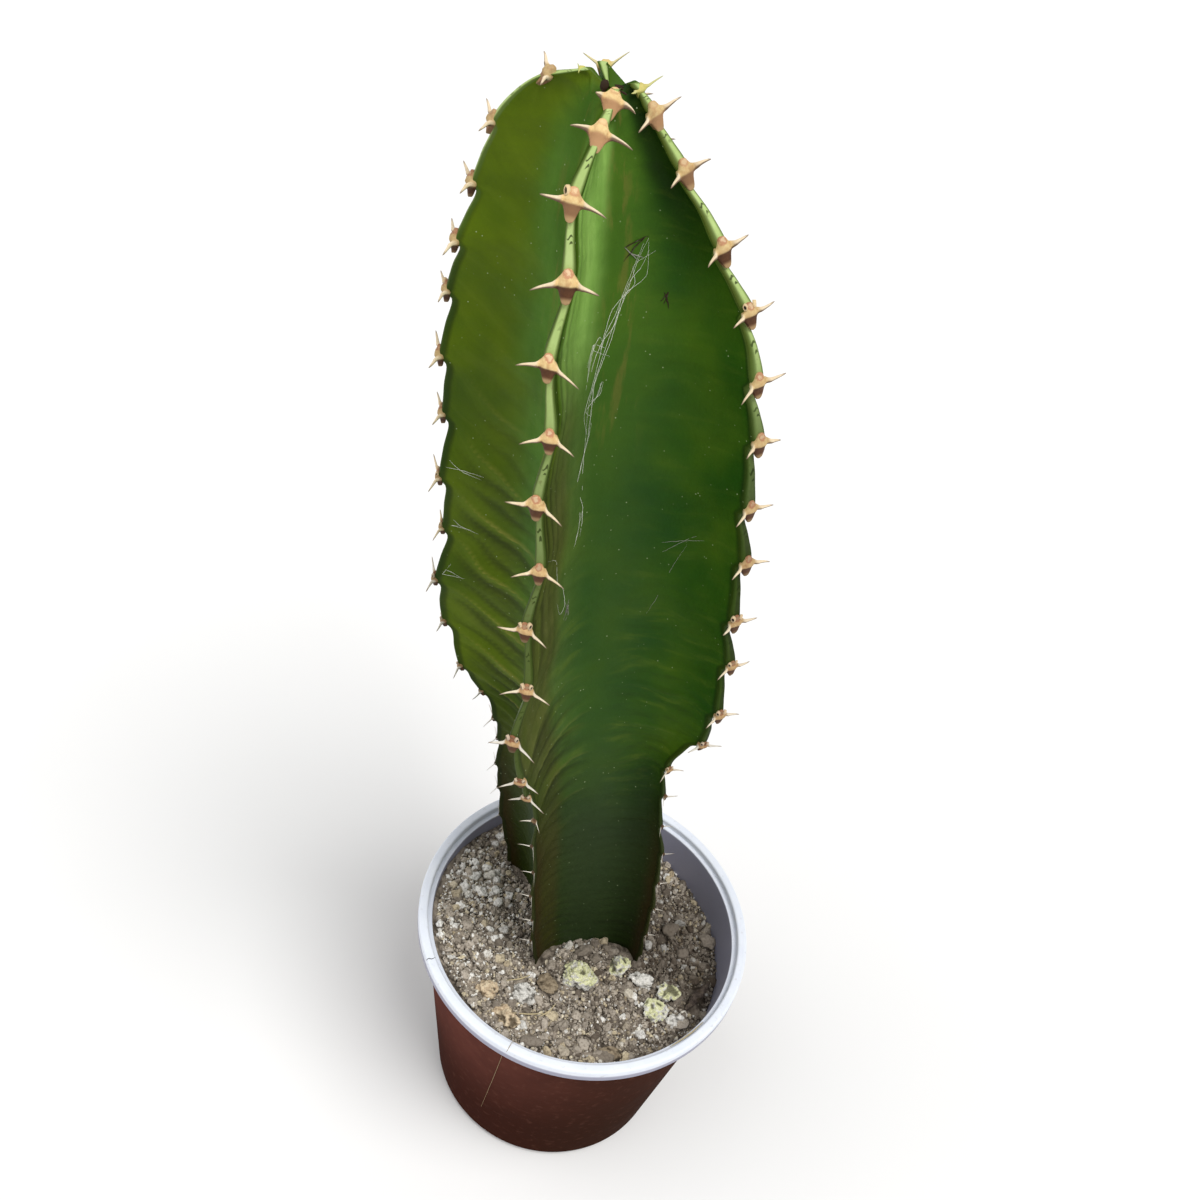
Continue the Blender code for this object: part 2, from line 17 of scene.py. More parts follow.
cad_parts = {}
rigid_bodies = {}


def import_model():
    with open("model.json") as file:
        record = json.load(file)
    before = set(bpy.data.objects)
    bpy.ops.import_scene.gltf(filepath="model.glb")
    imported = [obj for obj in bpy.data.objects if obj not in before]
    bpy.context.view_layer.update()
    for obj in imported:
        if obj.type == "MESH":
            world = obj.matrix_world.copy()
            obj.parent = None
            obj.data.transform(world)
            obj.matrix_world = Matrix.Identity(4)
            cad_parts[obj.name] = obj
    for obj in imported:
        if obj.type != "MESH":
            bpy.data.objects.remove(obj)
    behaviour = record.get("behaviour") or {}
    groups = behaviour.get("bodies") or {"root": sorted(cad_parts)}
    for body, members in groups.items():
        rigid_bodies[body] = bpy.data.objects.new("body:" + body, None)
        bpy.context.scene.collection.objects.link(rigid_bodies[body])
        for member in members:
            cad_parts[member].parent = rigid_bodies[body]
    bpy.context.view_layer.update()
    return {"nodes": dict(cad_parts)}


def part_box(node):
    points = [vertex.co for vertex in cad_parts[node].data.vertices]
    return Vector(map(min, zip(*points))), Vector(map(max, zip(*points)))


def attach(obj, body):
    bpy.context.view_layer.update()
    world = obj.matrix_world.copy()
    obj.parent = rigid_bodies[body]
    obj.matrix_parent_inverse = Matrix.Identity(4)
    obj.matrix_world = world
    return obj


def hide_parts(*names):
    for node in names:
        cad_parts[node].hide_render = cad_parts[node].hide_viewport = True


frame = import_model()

MM = 0.001

# Pot: the formed sheet's main sizes
POT_HEIGHT = 99.5 * MM
RIM_RADIUS = 62 * MM
RIM_WIDTH = 3.5 * MM
LIP_DROP = 5.6 * MM
LEDGE_DROP = 2.6 * MM
LEDGE_WIDTH = 1.4 * MM
BASE_RADIUS = 46.3 * MM
WALL = 1.3 * MM
FLOOR = 1.5 * MM
CORNER = 4 * MM
RIM_ROLL = 0.9 * MM
DRAIN_RING = (20 * MM, 36 * MM)
DRAIN_RISE = 2.5 * MM
DRAIN_SLOPE = 1.6 * MM
DRAIN_HOLES = 6
DRAIN_HOLE_RADIUS = 3.2 * MM
POT_SIDES = 180

# Soil
SOIL_AT_STEM = 86 * MM
SOIL_EDGE_RISE = 1.8 * MM
SOIL_TILT = 8 * MM
SOIL_HIGH_BEARING = math.radians(205)
SOIL_EDGE_RADIUS = 55 * MM
SOIL_ROUGHNESS = 0.7 * MM

# Stem: centre line and section
STEM_FOOT = Vector((-4.7, 12.4, 86)) * MM
STEM_LENGTH = 320 * MM
LEAN = 0.142
BOW = Vector((1.7, -5, 0)) * MM
TIP_DRIFT = Vector((1.8, 0, 0)) * MM
TWIST_AT_FOOT = math.radians(-20.6)
TWIST_GAIN = math.radians(15.4)
GROWING_POINT = 314 * MM
STEM_BURIED = 45 * MM
RIM_BACK = 0.9 * MM
VALLEY_RADII = ((-45, 12), (0, 16), (90, 16.5), (110, 15), (150, 13), (250, 12),
                (290, 9.5), (308, 6.5), (318, 4))
VALLEY_SAG = ((-45, 0), (285, 0), (305, 1.5), (318, 4))
FLANK_LEAD = 0.42
FLANK_TRAIL = 0.36
FLANK_FLARE = 0.1
TOOTH = ((-45, 0), (0, 0.4), (100, 0.6), (125, 1.2), (280, 1.1), (312, 0.4), (318, 0))
TOOTH_SHAPE = ((0, 1), (0.35, 0.3), (0.5, 0), (0.85, -1), (1, 1))
SWAY = ((-45, 0), (0, 0.3), (100, 0.5), (150, 1.2), (270, 1.0), (310, 0.2), (318, 0))
CURL_SHARE = ((-45, 0), (295, 0), (316, 1))

# Ribs, anticlockwise: bearing and facing in degrees, the top's curl in millimetres, the row of
# the first node, (row, height) levels and (height, radius) outline in millimetres. Band is how
# wide the pale rim is against the usual one.
Rib = namedtuple("Rib", "name bearing facing curl first_node band levels radii")
RIBS = (
    Rib("right", -8, -30, 0, 0.0, 1.25,
        ((-3, -45), (0, 0), (4, 66), (7, 109), (10, 161), (15, 253), (17, 283.8),
         (19, 310.8), (20, 315.5), (20.5, 316.5)),
        ((-45, 19), (0, 32.7), (60, 36), (95, 33.2), (110, 34), (127, 44), (145, 48.6),
         (180, 48.8), (220, 48), (255, 45), (280, 34), (290, 27.8), (297, 21.6),
         (304, 16.6), (311, 11.6), (315.5, 7.7), (316.5, 6.5))),
    Rib("back", 90, 0, 3.6, 0.5, 1.1,
        ((-3, -45), (0.5, 8), (3.5, 54), (7.5, 113), (12.5, 206), (15.5, 262), (18.5, 307),
         (19.5, 316.5), (20.5, 318)),
        ((-45, 18), (0, 31), (35, 33.7), (88, 34), (105, 40), (140, 50.7), (180, 47.6),
         (220, 44.1), (255, 41.7), (280, 33.5), (297, 22), (308, 14.5), (317, 7), (318, 6))),
    Rib("left", 182.9, 18, 0, 0.0, 1.1,
        ((-3, -45), (0, 5), (5, 82), (7, 104), (8, 115), (10, 153), (15, 256), (17, 287),
         (18, 303.5), (19, 315.8), (20, 317.7), (20.5, 318)),
        ((-45, 18), (0, 30.2), (60, 34.3), (88, 33.3), (98, 35), (110, 43), (125, 49),
         (140, 52.4), (180, 48), (220, 45.4), (255, 42.2), (280, 35.6), (297, 30.8),
         (306, 26.8), (311, 22.8), (315, 17.5), (317.5, 8), (318, 6))),
    Rib("front", 274, 11, 3, 0.5, 1.0,
        ((-3, -45), (0.5, 5), (3.5, 51), (7.5, 112), (12.5, 206), (15.5, 263), (18.5, 310),
         (19.5, 314.5), (20.5, 316.5)),
        ((-45, 18), (0, 30), (35, 33.5), (90, 34.8), (105, 37), (125, 46), (140, 50.3),
         (180, 45.1), (220, 40.5), (255, 38), (280, 31), (297, 27), (308, 18.5), (314, 8.5),
         (316.5, 6))),
)
TOP_ROW = 20.5
YOUNGEST_NODE = TOP_ROW - 0.3

# The skin's mesh
BURIED_ROWS = (-3.0, -2.0, -1.0)
SKIN_FROM_ROW = -0.6
SKIN_ROWS_PER_NODE = 16
RIM_STEPS = 12
FLANK_STEPS = 27
CROWN_RINGS = 7
BAND_HALF_WIDTHS = ((0, 1.5), (0.1, 1.6), (0.45, 1.2), (0.8, 0.95), (1, 1.5))
BAND_SCALES = ((-45, 0.3), (95, 0.4), (150, 0.72), (230, 0.95), (300, 1), (318, 0.8))
BAND_SQUARENESS = 2.6

# Each flank: how far its folds rise (or fall) towards the valley, in nodes, how strong they are
# over the height, how olive it is, its upright pleats by the rim, its painted light (above 0) or
# painted shade (below 0) over the height, and how brown and lime green it is over the height
PLAIN = ((0, 0), (318, 0))
Flank = namedtuple("Flank", "slope folds olive pleats light brown lime", defaults=(PLAIN,) * 3)
FOLDS = ((-45, 0.15), (60, 0.15), (90, 0.4), (110, 0.8), (165, 0.5), (215, 0.2), (260, 0.08),
         (318, 0.05))
LEFT_FOLDS = ((-45, 0.15), (80, 0.3), (108, 1), (175, 1), (215, 0.5), (260, 0.25), (318, 0.1))
FRONT_FOLDS = ((-45, 0.15), (55, 0.2), (85, 0.6), (112, 1), (130, 0.9), (150, 0.35),
               (180, 0.12), (318, 0))
RIGHT_FOLDS = ((-45, 0.1), (60, 0.15), (110, 0.45), (150, 0.3), (190, 0.08), (318, 0))
LIME = ((0, 0), (110, 0), (160, 0.5), (240, 1), (290, 0.9), (318, 0))
FACES = (
    (Flank(-0.5, FOLDS, 0.3, 0.3, ((0, -0.6), (210, -0.6), (270, 0), (318, 0))),
     Flank(-0.4, FOLDS, 0.4, 0.2)),
    (Flank(-0.5, FOLDS, 0.5, 0.3, lime=LIME), Flank(0.5, LEFT_FOLDS, 0.6, 0.2, lime=LIME)),
    (Flank(1.0, LEFT_FOLDS, 1.0, 0.0,
           ((0, -0.3), (100, 0), (200, 0), (300, -0.1), (318, -0.3)), lime=LIME),
     Flank(-0.3, FOLDS, 0.6, 0.3,
           ((0, -0.4), (120, 0.1), (200, 0.5), (290, 0.55), (318, 0.1)), lime=LIME)),
    (Flank(-0.8, FRONT_FOLDS, 0.3, 1.0,
           ((0, 0), (80, 0.05), (130, 0.4), (215, 0.45), (240, 0.5), (262, 0.8), (285, 1.1),
            (295, 1.4), (304, 1.2), (310, 0.2), (318, -0.8)),
           ((0, 0.6), (60, 0.6), (100, 0.55), (130, 0.85), (205, 0.85), (232, 0.5),
            (255, 0.15), (318, 0))),
     Flank(0.15, RIGHT_FOLDS, 0.15, 0.0,
           ((0, -0.5), (90, -0.3), (150, 0), (250, 0), (275, -0.3), (300, -1), (318, -1)))),
)
# How pale each rib's rim is over the height along the stem
PALE_RIMS = {
    "right": ((0, 0), (195, 0), (225, 0.12), (250, 0.5), (275, 0.95), (318, 1)),
    "back": ((0, 0), (80, 0.05), (120, 0.4), (180, 0.8), (318, 1)),
    "left": ((0, 0), (150, 0), (250, 0.05), (285, 0.3), (302, 1), (318, 1)),
    "front": ((0, 0), (90, 0.02), (130, 0.15), (190, 0.35), (240, 0.7), (270, 1), (318, 1)),
}
# How much painted shade darkens a rim's lower part, how much browner its lower part is, and on which side
# of the rim painted shade turns its pale band olive
RIM_LOW_SHADE = {"right": 1.3}
RIM_TAN = {"front": 0.5}
SHADED_RIM_SIDES = {"right": -1}
FOLD_DEPTH = 1.1 * MM
PLEAT_DEPTH = 0.4 * MM
RIPPLE_SPACING = 5.2 * MM
RIPPLE_DEPTH = 0.22 * MM
SKIN_LOOKS = "fold band valley height phase olive across lane light lime brown".split()

# Armature: sizes in millimetres over the height along the stem
SHIELD_SIZES = ((0, 1.1), (80, 1.4), (100, 2.2), (125, 3.1), (160, 3.5), (200, 3.9), (290, 4.4),
                (318, 4.0))
SPINE_LENGTHS = ((0, 4.8), (95, 5.4), (125, 6.8), (180, 7.4), (240, 7.8), (290, 8.8), (318, 8))
SPINE_SCALES = {"right": 0.86, "back": 1.0, "left": 0.9, "front": 1.0}
# How far each rib's two spines droop, in degrees, at nodes on either side of the zigzag
DROOPS = {"right": ((18, -10), (24, -16)), "back": ((10, 10), (4, 16)),
          "left": ((-30, 14), (-24, 8)), "front": ((4, 16), (-6, 28))}
SPINE_SPREAD = math.radians(71)
# How far each rib's two spines spread from straight ahead at the foot, in degrees
LOW_SPREADS = {"right": (24, 60), "back": (60, 60), "left": (60, 40), "front": (84, 20)}
SHIELD_SCALES = {"right": 0.9, "back": 0.95, "left": 0.82, "front": 1.0}
# How much darker each rib's shields are; on the left rib, seen side on, this is painted shade
SHIELD_SHADES = {"left": 0.35, "right": 0.22}
SPINE_JITTER = math.radians(7)
SPINE_START = 5 * MM


def smooth(anchors, where):
    """Read a smooth curve through (x, y) anchors that never overshoots them."""
    xs, ys = np.array(anchors, float).T
    secants = np.diff(ys) / np.diff(xs)
    slopes = np.zeros(len(xs))
    slopes[0], slopes[-1] = secants[0], secants[-1]
    before, after = secants[:-1], secants[1:]
    agree = before * after > 0
    slopes[1:-1][agree] = 2 * before[agree] * after[agree] / (before + after)[agree]
    where = np.clip(np.asarray(where, float), xs[0], xs[-1])
    i = np.clip(np.searchsorted(xs, where) - 1, 0, len(secants) - 1)
    run = xs[i + 1] - xs[i]
    t = (where - xs[i]) / run
    return ((1 + 2 * t) * (1 - t) ** 2 * ys[i] + t * (1 - t) ** 2 * run * slopes[i]
            + t * t * (3 - 2 * t) * ys[i + 1] + t * t * (t - 1) * run * slopes[i + 1])


def at_height(anchors, height):
    """A millimetre curve over millimetre heights, read at a height in metres, in metres."""
    return smooth(anchors, height / MM) * MM


def fade(low, high, value):
    """0 below low, 1 above high and smooth between."""
    t = np.clip((np.asarray(value, float) - low) / (high - low), 0, 1)
    return t * t * (3 - 2 * t)


def bumps(points, size, seed=0.0):
    """Smooth noise from -1 to 1 at each point, with lumps of about the given size."""
    points = np.asarray(points, float)
    flat = (points.reshape(-1, 3) / size + seed).tolist()
    values = np.array([noise.noise(point) for point in flat])
    return values.reshape(points.shape[:-1])


# The stem's frame: its axis, and the two directions across it
AXIS = Vector((-LEAN, 0, math.sqrt(1 - LEAN * LEAN)))
ACROSS = (Vector((1, 0, 0)) - AXIS * AXIS.x).normalized()
AWAY = AXIS.cross(ACROSS)


def stem_point(height, radius, bearing):
    """Points at a height along the stem, a radius and a bearing round its centre line."""
    t = height / STEM_LENGTH
    bow = 4 * t * (1 - t)
    outward = (np.multiply.outer(np.cos(bearing), ACROSS)
               + np.multiply.outer(np.sin(bearing), AWAY))
    centre = (np.array(STEM_FOOT) + np.multiply.outer(height, AXIS)
              + np.multiply.outer(bow, BOW) + np.multiply.outer(t ** 6, TIP_DRIFT))
    return centre + np.asarray(radius)[..., None] * outward


def rib_height(rib, row):
    return smooth(rib.levels, row) * MM


def rib_bearing(rib, height):
    return math.radians(rib.bearing) + TWIST_AT_FOOT + TWIST_GAIN * height / STEM_LENGTH


def rib_phase(rib, row):
    return np.mod(row - rib.first_node, 1.0)


def rib_tip_radius(rib, row, height):
    tooth = smooth(TOOTH_SHAPE, rib_phase(rib, row))
    return at_height(rib.radii, height) + at_height(TOOTH, height) * tooth


def rib_sway(rib, row, height):
    """The rim's small zigzag from node to node and its curl at the top, to the rib's left."""
    zigzag = at_height(SWAY, height) * np.cos(math.pi * (row - rib.first_node))
    return zigzag + rib.curl * at_height(CURL_SHARE, height)


def bezier(points, t):
    a, b, c, d = points
    s = 1 - t
    return s ** 3 * a + 3 * s * s * t * b + 3 * s * t * t * c + t ** 3 * d


def rim_frame(rib, rows, height, side):
    """The rim's middle radius, half width, and its outward and sideways directions."""
    tip = rib_tip_radius(rib, rows, height)
    half = smooth(BAND_HALF_WIDTHS, rib_phase(rib, rows)) * MM * rib.band
    half = half * smooth(BAND_SCALES, height / MM)
    width = np.minimum(half, tip / 3)
    turn = side * math.radians(rib.facing)
    outward = np.array((math.cos(turn), math.sin(turn)))[:, None]
    sideways = np.array((-math.sin(turn), math.cos(turn)))[:, None]
    return tip, width, outward, sideways


def crest(phase):
    """A wave from -1 to 1 with narrow crests at whole numbers and wide troughs."""
    return 1 - 2 * np.abs(np.sin(math.pi * phase)) ** 0.8


def fold_lane(rib, flank, rows, part, points):
    """Which fold a point lies on, counted in nodes: folds curve from the rim to the valley."""
    drift = 0.16 * bumps(points, 14 * MM, 3.1)
    return rows - rib.first_node + flank.slope * (1 - (1 - part) ** 2.4) + drift


def fold_pattern(lane):
    """The nodes' folds with finer ones between, from -1 to 1."""
    return 0.5 * crest(lane) + 0.32 * crest(2 * lane + 0.1) + 0.18 * crest(5 * lane + 0.2)


def pleat_pattern(flank, part, height, points):
    """Soft upright pleats beside the rim, on the upper stem."""
    wander = 0.5 * bumps(points * (1, 1, 0.3), 12 * MM, 5.5)
    wave = crest(part * 7.5 + wander)
    envelope = flank.pleats * math.exp(-(part / 0.42) ** 2) * (1 - math.exp(-(part / 0.05) ** 2))
    return wave * envelope * fade(140 * MM, 185 * MM, height) * (1 - fade(295 * MM, 312 * MM, height))


def flank_points(rib, other, side, part, rows, flank):
    """A column of flank points from a rib's rim (part 0) to the valley (part 1), with what the
    material needs to know of each."""
    own, across = rib_height(rib, rows), rib_height(other, rows)
    middle = (own + across) / 2
    height = own + (across - own) * part / 2 - at_height(VALLEY_SAG, middle) * part ** 2
    bearing = rib_bearing(rib, height)
    half = np.mod(side * (rib_bearing(other, height) - bearing), 2 * math.pi) / 2
    tip, width, outward, sideways = rim_frame(rib, rows, own, side)
    valley = at_height(VALLEY_RADII, height)
    start = np.array((tip, 0 * tip)) - RIM_BACK * outward + width * sideways
    end = np.array((valley * np.cos(half), valley * np.sin(half)))
    length = np.hypot(*(end - start))
    lead = start + FLANK_LEAD * length * (FLANK_FLARE * sideways - outward)
    trail = end + FLANK_TRAIL * length * np.array((np.sin(half), -np.cos(half)))
    x, y = bezier((start, lead, trail, end), part)
    plain = stem_point(height, np.hypot(x, y), bearing + side * np.arctan2(y, x))
    envelope = smooth(flank.folds, height / MM) * math.sin(math.pi * part ** 0.8) ** 0.8
    lane = fold_lane(rib, flank, rows, part, plain)
    folds = fold_pattern(lane) * envelope
    pleats = pleat_pattern(flank, part, height, plain)
    ripple = np.cos(2 * math.pi * height / RIPPLE_SPACING + 6 * bumps(plain, 18 * MM, 7.7))
    low_stem = 1 - fade(70 * MM, 120 * MM, height)
    ripples = RIPPLE_DEPTH * ripple * math.sin(math.pi * part) * (0.3 + 0.4 * low_stem)
    lift = FOLD_DEPTH * folds + PLEAT_DEPTH * pleats + ripples
    x, y = x + lift * 0.3, y + lift + side * rib_sway(rib, rows, own) * (1 - part)
    points = stem_point(height, np.hypot(x, y), bearing + side * np.arctan2(y, x))
    # Painted light (above 0) on a band of the flank beside the rim, or painted shade (below 0) from the rim
    # fading towards the valley
    light = smooth(flank.light, height / MM)
    light = np.where(light > 0, light * fade(0.0, 0.28, part) * (1 - fade(0.55, 1.0, part)),
                     light * (1 - fade(0.3, 0.9, part)))
    # Painted shade in the crease beside a pleated rim
    crease_shade = (flank.pleats > 0.25) * (1 - fade(0.02, 0.16, part))
    looks = {"fold": folds + 0.8 * pleats + 0.09 * ripple * low_stem * part, "valley": part,
             "height": height / STEM_LENGTH, "phase": rib_phase(rib, rows),
             "olive": flank.olive + (0.45 - flank.olive) * fade(0.5, 1, part),
             "across": side * (1 + part), "lane": lane, "light": light - 0.35 * crease_shade,
             "lime": smooth(flank.lime, height / MM) * fade(0.4, 0.8, part),
             "brown": smooth(flank.brown, height / MM) * (1 - fade(0.4, 0.62, part))}
    return points, looks


def rim_points(rib, turn, rows):
    """A column of points on the rounded rim, from its right edge (-1) to its left edge (1)."""
    height = rib_height(rib, rows)
    tip, width, outward, sideways = rim_frame(rib, rows, height, 1)
    angle = turn * math.pi / 2
    over = math.cos(angle) ** (2 / BAND_SQUARENESS)
    aside = math.copysign(abs(math.sin(angle)) ** (2 / BAND_SQUARENESS), turn)
    x, y = np.array((tip, 0 * tip)) + RIM_BACK * (over - 1) * outward + width * aside * sideways
    y = y + rib_sway(rib, rows, height)
    points = stem_point(height, np.hypot(x, y), rib_bearing(rib, height) + np.arctan2(y, x))
    # The rim's painted shade: on its lower part, and on one half of it
    low_rim_shade = RIM_LOW_SHADE.get(rib.name, 0) * (1 - fade(220, 262, height / MM))
    looks = {"band": 0.06 + 0.94 * smooth(PALE_RIMS[rib.name], height / MM), "olive": 0.5,
             "height": height / STEM_LENGTH, "phase": rib_phase(rib, rows), "across": aside,
             "lane": rows, "light": fade(-0.1, 0.5, SHADED_RIM_SIDES.get(rib.name, 0) * aside) - low_rim_shade,
             "brown": RIM_TAN.get(rib.name, 0) * (1 - fade(255, 300, height / MM))}
    return points, looks


def skin_columns(rows):
    parts = [(step / FLANK_STEPS) ** 1.2 for step in range(1, FLANK_STEPS + 1)]
    for index, rib in enumerate(RIBS):
        left, right = RIBS[(index + 1) % len(RIBS)], RIBS[index - 1]
        for part in parts[-2::-1]:
            yield flank_points(rib, right, -1, part, rows, FACES[index - 1][1])
        for step in range(RIM_STEPS + 1):
            yield rim_points(rib, 2 * step / RIM_STEPS - 1, rows)
        for part in parts:
            yield flank_points(rib, left, 1, part, rows, FACES[index][0])


def mesh_piece(name, points, faces, looks=None):
    """A mesh object from points and faces, with float attributes on its points."""
    mesh = bpy.data.meshes.new(name)
    mesh.from_pydata(np.asarray(points).tolist(), [], faces)
    mesh.validate()
    mesh.shade_smooth()
    piece = bpy.data.objects.new(name, mesh)
    bpy.context.scene.collection.objects.link(piece)
    add_looks(piece, looks or {})
    return piece


def add_looks(piece, looks):
    for key, values in looks.items():
        layer = piece.data.attributes.new(key, "FLOAT", "POINT")
        layer.data.foreach_set("value", np.asarray(values, np.float32))


def joined(name, shapes):
    """One piece from (points, faces, looks) shapes. A look that a shape doesn't give is 0."""
    faces, count = [], 0
    for points, shape_faces, _ in shapes:
        faces += [[corner + count for corner in face] for face in shape_faces]
        count += len(points)
    keys = dict.fromkeys(key for _, _, given in shapes for key in given)
    looks = {key: np.concatenate([given.get(key, 0) + np.zeros(len(points))
                                  for points, _, given in shapes]) for key in keys}
    return mesh_piece(name, np.concatenate([points for points, _, _ in shapes]), faces, looks)


def closed_faces(rings, around, flip=False):
    """Quads between rings of points, and a fan at each end to a centre point. The two centres
    come after the rings."""
    ring, spot = np.meshgrid(around * np.arange(rings - 1), np.arange(around), indexing="ij")
    after = (spot + 1) % around
    quads = np.stack((ring + spot, ring + after, ring + around + after, ring + around + spot), -1)
    spot, after, count = spot[0], after[0], rings * around
    last = count - around
    fans = (np.stack((after, spot, 0 * spot + count), -1),
            np.stack((last + spot, last + after, 0 * spot + count + 1), -1))
    faces = [face for part in (quads.reshape(-1, 4), *fans) for face in part.tolist()]
    return [face[::-1] for face in faces] if flip else faces


def make_skin():
    steps = round((TOP_ROW - SKIN_FROM_ROW) * SKIN_ROWS_PER_NODE)
    rows = np.concatenate((BURIED_ROWS, np.linspace(SKIN_FROM_ROW, TOP_ROW, steps + 1)))
    columns = list(skin_columns(rows))
    points = np.array([column for column, _ in columns]).transpose(1, 0, 2)
    around = points.shape[1]
    centre = stem_point(GROWING_POINT, 0.0, 0.0)
    crown = [centre + (points[-1] - centre) * share
             for share in np.linspace(1, 0, CROWN_RINGS + 2)[1:-1]]
    bottom = stem_point(-STEM_BURIED, 0.0, 0.0)
    points = np.concatenate((points.reshape(-1, 3), *crown, [bottom, centre]))
    looks = {}
    for key in SKIN_LOOKS:
        values = np.array([found.get(key, 0) + 0 * rows for _, found in columns]).T
        top = np.tile(values[-1], CROWN_RINGS)
        looks[key] = np.concatenate((values.ravel(), top, (values[0, 0], values[-1, 0])))
    piece = mesh_piece("stem_skin", points, closed_faces(len(rows) + CROWN_RINGS, around), looks)
    settle(piece, skin_material(), "stem", "plant")


def arithmetic(operation, swapped=False):
    def method(value, other):
        return value.finish.math(operation, *((other, value) if swapped else (value, other)))
    return method


class Value:
    """A node's output, for use in plain arithmetic."""

    def __init__(self, finish, socket):
        self.finish, self.socket = finish, socket

    __add__, __mul__, __truediv__ = map(arithmetic, ("ADD", "MULTIPLY", "DIVIDE"))
    __sub__, __rsub__ = arithmetic("SUBTRACT"), arithmetic("SUBTRACT", swapped=True)


class Finish:
    """A procedural material, built up node by node."""

    def __init__(self, name):
        self.made = bpy.data.materials.new(name)
        self.made.use_nodes = True
        self.tree = self.made.node_tree

    def feed(self, socket, value):
        if isinstance(value, Value):
            self.tree.links.new(value.socket, socket)
        elif value is not None:
            socket.default_value = value

    def node(self, kind, *inputs, out=0, **settings):
        made = self.tree.nodes.new("ShaderNode" + kind)
        for key, value in settings.items():
            setattr(made, key, value)
        for socket, value in zip(made.inputs, inputs):
            self.feed(socket, value)
        return Value(self, made.outputs[out])

    def attribute(self, name):
        return self.node("Attribute", attribute_name=name, out=2)

    def attributes(self, names):
        return [self.attribute(name) for name in names.split()]

    def math(self, operation, a, b=0.0):
        return self.node("Math", a, b, operation=operation)

    def blend(self, share, under, over, kind="MIX"):
        return self.node("Mix", share, *[None] * 5, rgba(under), rgba(over), out=2,
                         data_type="RGBA", blend_type=kind)

    def coats(self, base, *coats):
        """A base colour under coats, each a share and a colour."""
        for share, colour in coats:
            base = self.blend(share, base, colour)
        return base

    def between(self, value, low, high):
        """0 at low and 1 at high, smooth between, also where low is the larger."""
        return self.node("MapRange", value, low, high, 0.0, 1.0, interpolation_type="SMOOTHSTEP")

    def place(self):
        """A place in the object's own space."""
        return self.node("TexCoord", out=3)

    def speckle(self, size, detail=3.0, rough=0.55, stretch=None):
        """Noise in the object's own space, with lumps of about the given size."""
        place = self.place()
        if stretch:
            place = self.node("VectorMath", place, stretch, operation="MULTIPLY")
        return self.noise(place, size, detail, rough)

    def noise(self, place, size, detail=3.0, rough=0.55):
        return self.node("TexNoise", place, None, 1 / size, detail, rough)

    def cells(self, size):
        return self.node("TexVoronoi", self.place(), None, 1 / size)

    def axis(self, index, source=3):
        """One coordinate of the place in the object's own space, or of its normal (source 1)."""
        return self.node("SeparateXYZ", self.node("TexCoord", out=source), out=index)

    def done(self, colour, rough, height=None, depth=0.0, **constants):
        """The material, from its colour, roughness, fine relief and other constants."""
        inputs = {"Base Color": colour, "Roughness": rough, **constants}
        if height:
            bump = self.tree.nodes.new("ShaderNodeBump")
            for name, value in (("Strength", 1.0), ("Distance", depth), ("Height", height)):
                self.feed(bump.inputs[name], value)
            inputs["Normal"] = Value(self, bump.outputs[0])
        for name, value in inputs.items():
            self.feed(self.tree.nodes["Principled BSDF"].inputs[name.replace("_", " ")], value)
        return self.made


def rgba(value):
    """A colour given as eight-bit sRGB, as the linear colour that a socket takes."""
    if isinstance(value, Value):
        return value
    linear = [(c / 255 / 12.92 if c <= 10 else ((c / 255 + 0.055) / 1.055) ** 2.4) for c in value]
    return (*linear, 1.0)


